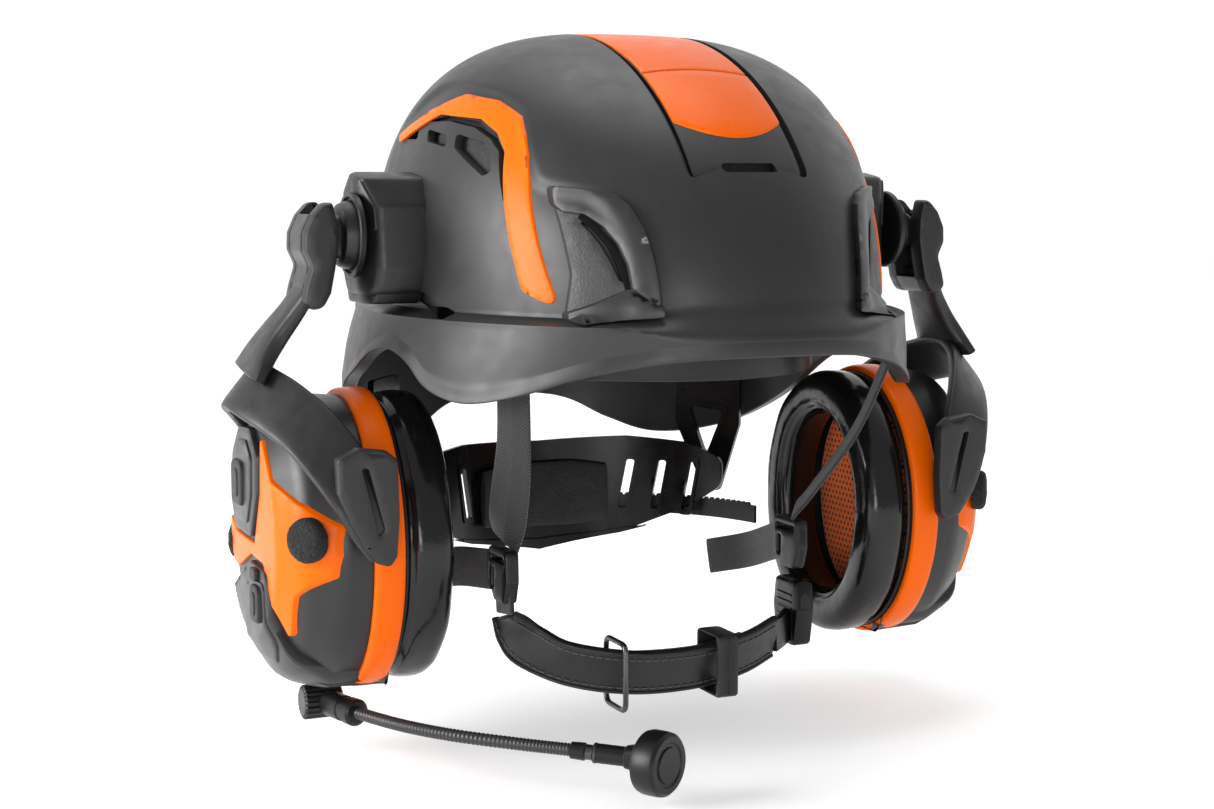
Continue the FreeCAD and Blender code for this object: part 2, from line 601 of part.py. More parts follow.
def cup_loft(label, growth, first=111.6, depth=0.0):
    """The cup's outer form grown by `growth`, starting at reach `first`, its face moved in by `depth`."""
    rim_depth, rim_height = "Sizes.cup_half_depth - 2.5", "Sizes.cup_half_height - 2.5"
    y, z = size["cup_centre_y"], size["cup_centre_z"]
    turn = Rotation(Vector(0, 0, 1), Vector(1, 0, 0))
    rows = [(first, -2.5, -2.5, 0, 0), (124.2, -2.5, -2.5, 0, 0)] + CUP_STATIONS
    sections = []
    for reach, less_depth, less_height, shift_y, shift_z in rows:
        out = reach + (growth if reach > 140 else 0) - (depth if reach > 140 else 0)
        place = Placement(Vector(-out, y + shift_y, z + shift_z), turn)
        sections.append((place, f"Sizes.cup_half_height + {less_height} + {growth}",
                         f"Sizes.cup_half_depth + {less_depth} + {growth}"))
    return loft(label, sections)


def yz_oval(label, start, length, half_depth, half_height):
    return prism(label, "YZ_Plane", start, length,
                 oval(size["cup_centre_y"], size["cup_centre_z"], half_depth, half_height))


def make_cup():
    outer = cup_loft("cup_form", 0)
    hollow = cup_loft("cup_hollow", -size["cup_wall"], first=110)
    hole = cylinder("pivot_hole", (-size["pivot_reach"], -80, size["pivot_height"]), (0, 1, 0),
                    "Sizes.pin_radius + Sizes.running_gap", 160)
    pair("cup_shell", cut("cup_shell_right", outer, hollow, hole))
    rim = yz_oval("band_rim", "-Sizes.band_outer", "Sizes.band_outer - Sizes.band_inner",
                  size["cup_half_depth"], size["cup_half_height"])
    eye = yz_oval("band_eye", "-Sizes.band_outer - 1", 20,
                  size["cup_half_depth"] - 2.3, size["cup_half_height"] - 2.3)
    pair("cup_band", cut("cup_band_right", rim, eye))
    pad = yz_oval("cushion_pad", "-Sizes.band_inner + 0.5", "Sizes.cushion_depth", 47.5, 57.5)
    ear = yz_oval("cushion_hole", "-Sizes.band_inner - 1", 30, 25, 35)
    pair("cushion", cut("cushion_right", pad, ear))
    pair("ear_foam", yz_oval("ear_foam_right", -118, 4, 36, 46))
    pair("speaker", cylinder("speaker_right", (-134, size["cup_centre_y"], size["cup_centre_z"]),
                             (1, 0, 0), 20, 9))


UPPER_BUTTON = (15, -25)
LOWER_BUTTON = (-10, -69)


def make_face():
    """The coloured face plate, the two control pods, their buttons and the two foam wind shields."""
    near = cup_loft("face_near", 0.15)
    plate_skin = cut("plate_skin", cup_loft("plate_far", 1.5), near)
    cross = [(-11, -2), (-27, -20), (-47, -28), (-56, -40), (-56, -66), (-43, -76), (-34, -92),
             (-28, -89), (-24, -66), (-14, -53), (4, -52), (30, -62), (52, -60), (52, -38),
             (28, -47), (-2, -47), (-11, -26)]
    pod_skin = cut("pod_skin", cup_loft("pod_far", 3.4), cup_loft("pod_near", 0.15))
    upper_side = [(-8, -12), (2, -2), (20, -3), (31, -14), (34, -34), (26, -44.5), (0, -44.5),
                  (-8, -26)]
    lower_side = [(-20, -56), (4, -55), (22, -64), (35, -70), (33, -87), (19, -103), (-26, -103),
                  (-30, -92), (-22, -78)]
    upper = prism("upper_pod_outline", "YZ_Plane", -170, 36, rounded(upper_side, 4))
    lower = prism("lower_pod_outline", "YZ_Plane", -170, 36, rounded(lower_side, 3))
    wells, buttons = [], []
    for index, (centre, radius) in enumerate(((UPPER_BUTTON, "upper_button_radius"),
                                              (LOWER_BUTTON, "lower_button_radius"))):
        wells.append(cylinder(f"button_well{index}", (-170, *centre), (1, 0, 0),
                              f"Sizes.{radius} + 0.4", 40))
        reach = size["face_reach"] + 0.15 + size["button_travel"] + 0.3
        buttons.append(cylinder(f"button_cap{index}", (-reach, *centre), (-1, 0, 0),
                                f"Sizes.{radius}", 3.8))
    pods = [cut("upper_pod", common("upper_pod_blank", pod_skin, upper), wells[0]),
            cut("lower_pod", common("lower_pod_blank", pod_skin, lower), wells[1])]
    pair("control_pods", group("control_pods_right", *pods))
    plate = common("plate_blank", plate_skin,
                   prism("plate_outline", "YZ_Plane", -170, 36, polygon(cross)))
    pair("face_plate", cut("face_plate_right", plate, upper, lower))
    pair("button_upper", buttons[0])
    pair("button_lower", buttons[1])
    foams = []
    for index, (place, out) in enumerate((((-146.5, -45.5, -39), (-0.82, -0.57, 0)),
                                          ((-149.5, 43.5, -53), (-0.82, 0.57, 0)))):
        foams.append(cylinder(f"foam{index}", place, out, "Sizes.foam_radius", 5.5))
    pair("mic_foams", cut("mic_foams_cut", group("foam_pair", *foams),
                          cup_loft("foam_clear", 1.6)))


def make_boom():
    """The boom that turns about a sideways axis under the right cup."""
    level, reach = size["boom_height"], size["boom_reach"]
    hub = cylinder("boom_hub", (-reach - 8, 4, level), (1, 0, 0), 7, 16)
    barrel = cylinder("boom_barrel", (-reach + 2, 0, level), (0.28, -0.96, 0), 5.2, 21)
    node("boom_socket", fuse("boom_socket", hub, barrel))
    route = [(-122, -21.5, -114), (-112, -42, -114.2), (-98, -62, -114.6), (-78, -80, -115.6),
             (-62, -92, -116.6)]
    sweep = doc.addObject("Part::Feature", "boom_gooseneck")
    curve = Part.BSplineCurve()
    curve.interpolate([Vector(*point) for point in route])
    spine = Part.Wire([curve.toShape()])
    start = curve.tangent(curve.FirstParameter)[0]
    profile = Part.Wire([Part.Circle(Vector(*route[0]), start, size["gooseneck_radius"]).toShape()])
    sweep.Shape = spine.makePipeShell([profile], True, True)
    node("boom_gooseneck", sweep)
    along = (0.8, -0.58, -0.06)
    ferrule = cylinder("boom_ferrule", (-61.6, -92.3, -116.6), along, 3.4, 6)
    sleeve = cylinder("boom_sleeve", (-55, -97, -117.1), along, 3.9, 14)
    node("boom_fittings", group("boom_fittings", ferrule, sleeve))
    head = cylinder("mic_capsule", (-34, -119, -118.6), (-0.5, 0.86, 0), "Sizes.mic_radius", 11)
    neck = cylinder("mic_neck", (-43.3, -105.4, -118), along, 5, 8)
    node("mic_head", fuse("mic_head", head, neck))


# ---- build, check and write -----------------------------------------------------------------------------

make_shell()
make_crown()
make_shell_trim()
make_ear_mounts()
make_liner()
make_head_ring()
make_crown_webbing()
make_cradle()
make_ratchet()
make_height_brackets()
make_straps()
make_chin_strap()
make_arm()
make_cup()
make_face()
make_boom()
doc.recompute()

failed = [item.Label for item in doc.Objects if {"Invalid", "Error"} & set(item.State)]
failed += [item.Label for item in nodes if item.Shape.isNull() or not item.Shape.isValid()]
if failed:
    raise RuntimeError(f"these objects failed: {failed}")
os.makedirs("parts", exist_ok=True)
for item in nodes:
    item.Shape.exportStep(f"parts/{item.Label}.step")
    box = item.Shape.BoundBox
    spans = ((box.XMin, box.XMax), (box.YMin, box.YMax), (box.ZMin, box.ZMax))
    print(f"{item.Label:24s} solids {len(item.Shape.Solids)} volume {item.Shape.Volume:10.0f} ",
          *(f"{low:.1f}..{high:.1f}" for low, high in spans))
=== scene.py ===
"""Looks of the forestry helmet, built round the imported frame.

Frame: the front is -Y, the wearer's left is +X, +Z is up. Lengths are millimetres until a mesh is made.
Paired pieces are drawn on the wearer's right (-X) and mirrored to the left.
"""
import json
import math

import bmesh
import bpy
import numpy as np
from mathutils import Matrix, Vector, noise
from mathutils.geometry import delaunay_2d_cdt

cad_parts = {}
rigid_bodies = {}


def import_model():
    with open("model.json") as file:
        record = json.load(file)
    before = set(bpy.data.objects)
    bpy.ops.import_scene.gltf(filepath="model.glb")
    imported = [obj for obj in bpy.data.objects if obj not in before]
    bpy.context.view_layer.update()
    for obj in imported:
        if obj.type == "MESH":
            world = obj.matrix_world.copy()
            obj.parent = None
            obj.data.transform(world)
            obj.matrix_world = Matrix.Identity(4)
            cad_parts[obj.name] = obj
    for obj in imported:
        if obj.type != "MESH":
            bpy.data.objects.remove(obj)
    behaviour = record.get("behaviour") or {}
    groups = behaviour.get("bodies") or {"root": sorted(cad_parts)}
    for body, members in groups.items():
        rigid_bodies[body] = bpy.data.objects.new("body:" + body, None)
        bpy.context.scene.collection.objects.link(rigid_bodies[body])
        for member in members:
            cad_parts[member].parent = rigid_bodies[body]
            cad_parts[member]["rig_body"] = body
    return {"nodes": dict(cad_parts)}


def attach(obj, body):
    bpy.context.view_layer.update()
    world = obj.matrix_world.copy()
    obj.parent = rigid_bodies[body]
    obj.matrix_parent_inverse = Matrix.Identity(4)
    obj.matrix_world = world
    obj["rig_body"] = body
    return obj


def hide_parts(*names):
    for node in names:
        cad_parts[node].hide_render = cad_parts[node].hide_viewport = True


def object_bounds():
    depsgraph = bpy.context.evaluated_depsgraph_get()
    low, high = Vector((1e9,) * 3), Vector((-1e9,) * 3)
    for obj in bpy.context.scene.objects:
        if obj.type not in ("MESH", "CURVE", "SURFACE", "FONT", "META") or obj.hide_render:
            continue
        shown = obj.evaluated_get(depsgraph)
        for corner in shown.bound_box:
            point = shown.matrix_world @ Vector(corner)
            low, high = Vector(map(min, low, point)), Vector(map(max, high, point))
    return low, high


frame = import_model()
cad_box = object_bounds()

MM = 0.001
RIGHT, LEFT = -1, 1


# ---- outlines ------------------------------------------------------------------------------------------

def smoothstep(value):
    value = min(max(value, 0.0), 1.0)
    return value * value * (3 - 2 * value)


def flow(stations, steps):
    """A smooth run through stations of equal length, whatever their numbers mean."""
    rows = [np.array(station, float) for station in stations]
    rows = [2 * rows[0] - rows[1]] + rows + [2 * rows[-1] - rows[-2]]
    run = []
    for a, b, c, d in zip(rows, rows[1:], rows[2:], rows[3:]):
        for step in range(steps):
            t = step / steps
            run.append(0.5 * (2 * b + (c - a) * t + (2 * a - 5 * b + 4 * c - d) * t ** 2
                              + (3 * b - a - 3 * c + d) * t ** 3))
    run.append(rows[-2])
    return run


def rounded(points, radius, steps=5):
    """A closed outline whose corners are rounded."""
    outline = []
    for index, point in enumerate(points):
        corner = Vector(point)
        before = Vector(points[index - 1]) - corner
        after = Vector(points[(index + 1) % len(points)]) - corner
        half = before.angle(after) / 2
        reach = min(radius / math.tan(half), 0.48 * before.length, 0.48 * after.length)
        start, end = corner + before.normalized() * reach, corner + after.normalized() * reach
        for step in range(steps + 1):
            t = step / steps
            outline.append(start * (1 - t) ** 2 + corner * (2 * t * (1 - t)) + end * t ** 2)
    return outline


def box(low_u, low_v, high_u, high_v, radius=1.0):
    return rounded([(low_u, low_v), (high_u, low_v), (high_u, high_v), (low_u, high_v)], radius)


def oval(u, v, half_u, half_v, count):
    return [Vector((u + half_u * a, v + half_v * b)) for a, b in superoval(2, count)]


def superoval(power, count):
    """Points round a unit outline that is an ellipse at power 2 and squarer above it."""
    profile = []
    for step in range(count):
        turn = 2 * math.pi * step / count
        a, b = math.cos(turn), math.sin(turn)
        profile.append((math.copysign(abs(a) ** (2 / power), a), math.copysign(abs(b) ** (2 / power), b)))
    return profile


def area(outline):
    return sum(a[0] * b[1] - b[0] * a[1] for a, b in zip(outline, outline[1:] + outline[:1])) / 2


def divided(outline, step, positive):
    """The outline with its long sides split, running anticlockwise if `positive`."""
    outline = [Vector(point) for point in outline]
    if (area(outline) > 0) != positive:
        outline.reverse()
    points = []
    for a, b in zip(outline, outline[1:] + outline[:1]):
        length = (b - a).length
        if length < 1e-4:
            continue
        parts = max(1, round(length / step))
        points += [a.lerp(b, part / parts) for part in range(parts)]
    return points


def moved_in(outline, distance):
    """The outline moved to its left, which is into the material."""
    points = []
    for index, point in enumerate(outline):
        before = (point - outline[index - 1]).normalized()
        after = (outline[(index + 1) % len(outline)] - point).normalized()
        left = Vector((-before.y - after.y, before.x + after.x))
        points.append(point + left * (distance / max(1 + before.dot(after), 0.6)))
    return points


def within(points, outline):
    """Which of the points lie inside the outline, by the even-odd rule."""
    x, y = points[:, 0], points[:, 1]
    found = np.zeros(len(points), bool)
    for a, b in zip(outline, outline[1:] + outline[:1]):
        crosses = (a[1] > y) != (b[1] > y)
        rise = b[1] - a[1] if abs(b[1] - a[1]) > 1e-12 else 1e-12
        found ^= crosses & (x < (b[0] - a[0]) * (y - a[1]) / rise + a[0])
    return found


# ---- shapes: (points, faces, uv of each point or None) ---------------------------------------------------

def skin(rows, looped=False, uv=None):
    """A surface through closed rows of points; `looped` joins the last row to the first."""
    count = len(rows[0])
    points = [point for row in rows for point in row]
    faces = []
    for row in range(len(rows) if looped else len(rows) - 1):
        below = (row + 1) % len(rows)
        for column in range(count):
            after = (column + 1) % count
            faces.append((row * count + column, row * count + after, below * count + after,
                          below * count + column))
    if not looped:
        faces.append(tuple(range(count))[::-1])
        faces.append(tuple(range((len(rows) - 1) * count, len(rows) * count)))
    return points, faces, uv


def joined(*shapes):
    points, faces, uv = [], [], []
    for shape_points, shape_faces, shape_uv in shapes:
        start = len(points)
        points += shape_points
        faces += [tuple(start + index for index in face) for face in shape_faces]
        uv += shape_uv or [(0.0, 0.0)] * len(shape_points)
    return points, faces, uv


def flipped(shape):
    """The shape's mirror image on the other side of the helmet."""
    points, faces, uv = shape
    return [Vector((-point.x, point.y, point.z)) for point in points], faces, uv


def both(shape):
    return joined(shape, flipped(shape))


def plate(outline, place, low, high, edge=0.5, holes=(), step=3.0):
    """A slab with a rounded upper edge. `place` carries (u, v, height) of the flat drawing into the frame."""
    loops = [divided(outline, step, True)] + [divided(hole, step, False) for hole in holes]
    levels = [(0, low), (0, high - edge), (0.3 * edge, high - 0.3 * edge), (edge, high)]
    points, faces, starts = [], [], []
    for loop in loops:
        first = len(points)
        starts.append(first)
        for inward, height in levels:
            points += [place(u, v, height) for u, v in (moved_in(loop, inward) if inward else loop)]
        count = len(loop)
        for level in range(len(levels) - 1):
            for index in range(count):
                after = (index + 1) % count
                faces.append((first + level * count + index, first + level * count + after,
                              first + (level + 1) * count + after, first + (level + 1) * count + index))
    tops = [moved_in(loop, edge) for loop in loops]
    rim = np.array([tuple(point) for top in tops for point in top])
    low_corner, high_corner = rim.min(0), rim.max(0)
    grid = np.array([(u, v) for u in np.arange(low_corner[0] + step / 2, high_corner[0], step)
                     for v in np.arange(low_corner[1] + step / 2, high_corner[1], step)]).reshape(-1, 2)
    if len(grid):
        keep = within(grid, tops[0])
        for top in tops[1:]:
            keep &= ~within(grid, top)
        grid = grid[keep]
    if len(grid):
        nearest = np.array([np.hypot(*(rim - point).T).min() for point in grid])
        grid = grid[nearest > 0.55 * step]
    flat = [Vector(point) for point in rim] + [Vector(point) for point in grid]
    edges, first = [], 0
    for top in tops:
        edges += [(first + index, first + (index + 1) % len(top)) for index in range(len(top))]
        first += len(top)
    made, _, triangles, origins, _, _ = delaunay_2d_cdt(flat, edges, [], 0, 1e-6)
    upper, lower = [], []
    rim_upper, rim_lower = [], []
    for start, loop in zip(starts, loops):
        rim_upper += [start + (len(levels) - 1) * len(loop) + index for index in range(len(loop))]
        rim_lower += [start + index for index in range(len(loop))]
    for point, origin in zip(made, origins):
        known = [index for index in origin if index < len(rim)]
        if known:
            upper.append(rim_upper[known[0]])
            lower.append(rim_lower[known[0]])
        else:
            upper.append(len(points))
            points.append(place(point.x, point.y, high))
            lower.append(len(points))
            points.append(place(point.x, point.y, low))
    centres = np.array([sum((made[index] for index in face), Vector((0, 0))) / 3 for face in triangles])
    keep = within(centres, tops[0])
    for top in tops[1:]:
        keep &= ~within(centres, top)
    for face, kept in zip(triangles, keep):
        if kept:
            faces.append(tuple(upper[index] for index in face))
            faces.append(tuple(lower[index] for index in reversed(face)))
    return points, faces, None


def facing_x(face, sign=1):
    """Lays a side drawing (y, z) on the plane at x = `face`; heights run towards `sign`."""
    return lambda u, v, height: Vector((face + sign * height, u, v))


def facing_y(face, sign=1):
    """Lays a front drawing (x, z) on the plane at y = `face`; heights run towards `sign`."""
    return lambda u, v, height: Vector((u, face + sign * height, v))


def sweep(stations, power=4.0, steps=8, count=28, crown=0.92):
    """A bar through stations of (x, y, z, across x, across y, across z, width, thickness)."""
    line = flow(stations, steps)
    rows, uv, along = [], [], 0.0
    profile = superoval(power, count)
    for index, station in enumerate(line):
        centre = Vector(station[:3])
        ahead = Vector(line[min(index + 1, len(line) - 1)][:3])
        behind = Vector(line[max(index - 1, 0)][:3])
        forward = (ahead - behind).normalized()
        across = Vector(station[3:6])
        across = (across - forward * across.dot(forward)).normalized()
        normal = forward.cross(across)
        along += (centre - Vector(line[max(index - 1, 0)][:3])).length
        rings = [(1, 0)]
        if index == 0:
            rings = [(crown * 0.8, -0.35), (crown, -0.2), (1, 0)]
        if index == len(line) - 1:
            rings = [(1, 0), (crown, 0.2), (crown * 0.8, 0.35)]
        for scale, push in rings:
            middle = centre + forward * (push * min(station[7], 4.0) * 0.5)
            rows.append([middle + across * (a * scale * station[6] / 2) + normal * (b * scale * station[7] / 2)
                         for a, b in profile])
            uv += [(along * MM, a * station[6] / 2 * MM) for a, _ in profile]
    return skin(rows, uv=uv)


def lathe(origin, axis, profile, count=48, ripple=None):
    """A turned shape; the profile is (distance along the axis, radius). `ripple` scales the radius by angle."""
    axis = Vector(axis).normalized()
    across = axis.orthogonal().normalized()
    upright = axis.cross(across)
    rows = []
    for along, radius in profile:
        row = []
        for step in range(count):
            turn = 2 * math.pi * step / count
            reach = radius * (ripple(turn, along) if ripple else 1)
            row.append(Vector(origin) + axis * along + (across * math.cos(turn) + upright * math.sin(turn)) * reach)
        rows.append(row)
    return skin(rows)


def hoop(centre_y, centre_z, half_depth, half_height, profile, count=96):
    """A closed ring round the ear; the profile is (reach outwards from the head, distance out from the oval)."""
    rows = []
    for step in range(count):
        turn = 2 * math.pi * step / count
        rows.append([Vector((-reach, centre_y + (half_depth + out) * math.cos(turn),
                             centre_z + (half_height + out) * math.sin(turn))) for reach, out in profile])
    return skin(rows, looped=True)


# ---- looks ----------------------------------------------------------------------------------------------

class Tree:
    """A material's node tree with short ways to add and join nodes."""

    def __init__(self, name):
        self.material = bpy.data.materials.new(name)
        self.material.use_nodes = True
        self.tree = self.material.node_tree
        self.shader = self.tree.nodes["Principled BSDF"]

    def node(self, kind, inputs=None, **settings):
        made = self.tree.nodes.new("ShaderNode" + kind)
        for name, value in settings.items():
            setattr(made, name, value)
        for name, value in (inputs or {}).items():
            if isinstance(value, bpy.types.NodeSocket):
                self.tree.links.new(value, made.inputs[name])
            else:
                made.inputs[name].default_value = value
        return made

    def math(self, operation, first, second=0.0):
        return self.node("Math", {0: first, 1: second}, operation=operation).outputs[0]

    def noise(self, vector, size, detail=3.0):
        """Noise whose features are about `size` millimetres across."""
        return self.node("TexNoise",
                         {"Vector": vector, "Scale": 1 / (size * MM), "Detail": detail}).outputs["Fac"]

    def place(self):
        return self.node("TexCoord").outputs["Object"]

    def between(self, amount, low, high):
        spread = self.node("MapRange",
                           {"Value": amount, "To Min": low, "To Max": high, "From Min": 0.3, "From Max": 0.7})
        return spread.outputs["Result"]

    def blend(self, amount, first, second):
        mix = self.node("Mix", {"Factor": amount}, data_type="RGBA")
        for socket, value in ((mix.inputs[6], first), (mix.inputs[7], second)):
            if isinstance(value, bpy.types.NodeSocket):
                self.tree.links.new(value, socket)
            else:
                socket.default_value = (*value, 1)
        return mix.outputs[2]

    def bump(self, height, depth, under=None):
        inputs = {"Height": height, "Distance": depth * MM, "Strength": 1.0}
        if under is not None:
            inputs["Normal"] = under
        return self.node("Bump", inputs).outputs["Normal"]

    def feed(self, name, value):
        if isinstance(value, bpy.types.NodeSocket):
            self.tree.links.new(value, self.shader.inputs[name])
        else:
            self.shader.inputs[name].default_value = value


def shade(colour, factor):
    return tuple(min(part * factor, 1.0) for part in colour)


def moulded(name, colour, rough, grain=0.5, depth=0.02, spread=0.14, coat=0.0, metal=0.0, specular=0.5):
    """Moulded plastic, paint or metal: fine surface grain, slow colour drift and rubbed patches."""
    look = Tree(name)
    place = look.place()
    drift = look.noise(place, 38, 4.0)
    look.feed("Base Color", look.blend(drift, shade(colour, 1 - spread), shade(colour, 1 + spread)))
    rubbed = look.noise(place, 9, 5.0)
    look.feed("Roughness", look.between(rubbed, rough - 0.05, rough + 0.06))
    look.feed("Normal", look.bump(look.noise(place, grain, 2.0), depth))
    look.feed("Coat Weight", coat)
    look.feed("Coat Roughness", 0.12)
    look.feed("Metallic", metal)
    look.feed("Specular IOR Level", specular)
    return look.material


def pebbled(name, colour, rough, cell, depth, spread=0.25):
    """Coarse textured plastic or foam, made of small cells."""
    look = Tree(name)
    place = look.place()
    cells = look.node("TexVoronoi", {"Vector": place, "Scale": 1 / (cell * MM)}).outputs["Distance"]
    look.feed("Base Color", look.blend(cells, shade(colour, 1 + spread), shade(colour, 1 - spread)))
    look.feed("Roughness", look.between(look.noise(place, 6), rough - 0.07, rough + 0.07))
    look.feed("Normal", look.bump(cells, depth, look.bump(look.noise(place, cell * 0.4), depth * 0.3)))
    return look.material


def webbing(name, colour, pitch=1.5, depth=0.22, rough=0.72):
    """Woven strap: herringbone ribs that lean from the middle line to the two edges."""
    look = Tree(name)
    split = look.node("SeparateXYZ", {"Vector": look.node("TexCoord").outputs["UV"]})
    lean = look.math("ADD", split.outputs["X"], look.math("ABSOLUTE", split.outputs["Y"]))
    ribs = look.math("SINE", look.math("MULTIPLY", lean, 2 * math.pi / (pitch * MM)))
    threads = look.math("SINE", look.math("MULTIPLY", split.outputs["Y"], 2 * math.pi / (pitch * 0.55 * MM)))
    weave = look.math("ADD", look.math("MULTIPLY", ribs, 0.35), look.math("MULTIPLY", threads, 0.15))
    weave = look.math("ADD", weave, 0.5)
    fuzz = look.noise(look.place(), 0.4, 2.0)
    look.feed("Base Color", look.blend(weave, shade(colour, 0.45), shade(colour, 1.7)))
    look.feed("Roughness", look.between(fuzz, rough - 0.08, rough + 0.1))
    look.feed("Normal", look.bump(weave, depth, look.bump(fuzz, 0.05)))
    look.feed("Sheen Weight", 0.35)
    look.feed("Sheen Roughness", 0.4)
    return look.material


def leather(name, colour, rough=0.42):
    """Soft pebbled vinyl or leather with creases."""
    look = Tree(name)
    place = look.place()
    grain = look.node("TexVoronoi", {"Vector": place, "Scale": 1 / (1.1 * MM)},
                      feature="SMOOTH_F1").outputs["Distance"]
    creases = look.noise(place, 7, 6.0)
    look.feed("Base Color", look.blend(creases, shade(colour, 0.7), shade(colour, 1.5)))
    look.feed("Roughness", look.between(creases, rough - 0.08, rough + 0.08))
    look.feed("Normal", look.bump(grain, 0.06, look.bump(creases, 0.25)))
    return look.material


def glossy(name, colour, rough=0.16):
    """Thin shiny vinyl pulled over foam, with shallow puckers."""
    look = Tree(name)
    place = look.place()
    puckers = look.noise(place, 14, 3.0)
    dust = look.noise(place, 2.2, 5.0)
    look.feed("Base Color", look.blend(puckers, shade(colour, 0.8), shade(colour, 1.25)))
    look.feed("Roughness", look.between(dust, rough - 0.04, rough + 0.09))
    look.feed("Normal", look.bump(puckers, 0.5, look.bump(dust, 0.03)))
    look.feed("Specular IOR Level", 0.35)
    look.feed("Coat Weight", 0.12)
    look.feed("Coat Roughness", 0.1)
    return look.material


def perforated(name, colour, pitch, hole):
    """Cloth with round holes in a staggered pattern across the ear's plane."""
    look = Tree(name)
    split = look.node("SeparateXYZ", {"Vector": look.place()})
    gaps = []
    for shift in (0.0, 0.5):
        parts = []
        for axis, stretch in (("Y", 1.0), ("Z", math.sqrt(3))):
            lattice = look.math("MULTIPLY", split.outputs[axis], 1 / (pitch * stretch * MM))
            local = look.math("FRACT", look.math("ADD", lattice, shift + 100.0))
            local = look.math("MULTIPLY", look.math("SUBTRACT", local, 0.5), pitch * stretch)
            parts.append(look.math("POWER", look.math("ABSOLUTE", local), 2.0))
        gaps.append(look.math("SQRT", look.math("ADD", parts[0], parts[1])))
    nearest = look.math("MINIMUM", gaps[0], gaps[1])
    edge = look.node("MapRange", {"Value": nearest, "From Min": hole * 0.8, "From Max": hole * 1.2})
    solid = edge.outputs["Result"]
    fuzz = look.noise(look.place(), 0.5, 2.0)
    look.feed("Base Color",
              look.blend(solid, shade(colour, 0.02), look.blend(fuzz, shade(colour, 0.75), colour)))
    look.feed("Roughness", 0.8)
    look.feed("Normal", look.bump(solid, 0.5, look.bump(fuzz, 0.08)))
    look.feed("Sheen Weight", 0.2)
    return look.material


SHELL = moulded("shell_satin", (0.019, 0.019, 0.020), 0.40, grain=0.35, depth=0.012, spread=0.05,
                specular=0.42)
ORANGE = moulded("orange_gloss", (0.90, 0.13, 0.0), 0.3, grain=0.6, depth=0.004, spread=0.04, specular=0.14)
PLASTIC = moulded("black_satin", (0.007, 0.007, 0.007), 0.36, grain=0.5, depth=0.02, specular=0.35)
GLOSSY_PLASTIC = moulded("black_gloss", (0.004, 0.004, 0.004), 0.24, grain=0.8, depth=0.01, specular=0.3)
TEXTURED = pebbled("black_textured", (0.020, 0.020, 0.021), 0.5, 0.9, 0.06)
ARM = pebbled("arm_satin", (0.013, 0.013, 0.013), 0.42, 0.55, 0.025, spread=0.08)
CUP = moulded("cup_charcoal", (0.009, 0.009, 0.009), 0.38, grain=0.4, depth=0.015, spread=0.06)
POD = moulded("pod_satin", (0.016, 0.016, 0.017), 0.34, grain=0.4, depth=0.012, spread=0.05)
RUBBER = moulded("rubber_black", (0.010, 0.010, 0.010), 0.55, grain=0.7, depth=0.03)
VINYL = glossy("vinyl_black", (0.006, 0.006, 0.006))
WEBBING = webbing("webbing_black", (0.010, 0.010, 0.010))
LEATHER = leather("leather_black", (0.009, 0.009, 0.009))
STITCH = moulded("thread_grey", (0.07, 0.07, 0.07), 0.6, grain=0.3, depth=0.05)
TEXTILE = pebbled("textile_black", (0.016, 0.016, 0.017), 0.8, 1.3, 0.3)
FOAM = pebbled("liner_foam", (0.035, 0.035, 0.036), 0.85, 2.2, 0.15)
WIND_FOAM = pebbled("wind_foam", (0.012, 0.012, 0.012), 0.95, 1.2, 0.5, spread=0.6)
MESH = perforated("ear_mesh", (1.0, 0.16, 0.01), 3.0, 0.72)
GRILLE = pebbled("grille_mesh", (0.05, 0.05, 0.05), 0.8, 1.5, 0.4, spread=0.8)
# painted shade: a near-black material for the shade down in the lamp clips' finger slits
SLIT_SHADE_BLACK = moulded("shadow_black", (0.003, 0.003, 0.003), 0.8, specular=0.1)
PLASTIC_SATIN = moulded("clip_satin", (0.016, 0.016, 0.017), 0.4, grain=0.4, depth=0.02, spread=0.06)
ARM_DARK = pebbled("mount_satin", (0.008, 0.008, 0.008), 0.42, 0.55, 0.025, spread=0.08)
STEEL = moulded("dark_steel", (0.10, 0.10, 0.105), 0.28, grain=0.5, depth=0.01, metal=0.9)
GOOSENECK = moulded("gooseneck_rubber", (0.022, 0.022, 0.023), 0.38, grain=0.6, depth=0.02)


# ---- making pieces -----------------------------------------------------------------------------------------

def added(name, data):
    """A new object in the scene."""
    thing = bpy.data.objects.new(name, data)
    bpy.context.scene.collection.objects.link(thing)
    return thing


def clean_mesh(name, points, faces, uv=None):
    """A mesh in metres, with doubled points merged and its faces turned outwards."""
    mesh = bpy.data.meshes.new(name)
    mesh.from_pydata([tuple(point * MM) for point in points], [], faces)
    if uv:
        layer = mesh.uv_layers.new(name="UVMap")
        for loop in mesh.loops:
            layer.data[loop.index].uv = uv[loop.vertex_index]
    bm = bmesh.new()
    bm.from_mesh(mesh)
    bmesh.ops.remove_doubles(bm, verts=bm.verts, dist=0.002 * MM)
    bmesh.ops.recalc_face_normals(bm, faces=bm.faces)
    bm.to_mesh(mesh)
    bm.free()
    return mesh


def build(name, shape, look, nodes=(), crease=32, body=None):
    """Makes one piece, which rides with the first node that it stands for."""
    mesh = clean_mesh(name, *shape)
    mesh.shade_smooth()
    mesh.set_sharp_from_angle(angle=math.radians(crease))
    piece = added(name, mesh)
    mesh.materials.append(look)
    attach(piece, body or frame["nodes"][nodes[0]]["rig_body"])
    if nodes:
        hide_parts(*nodes)
    return piece


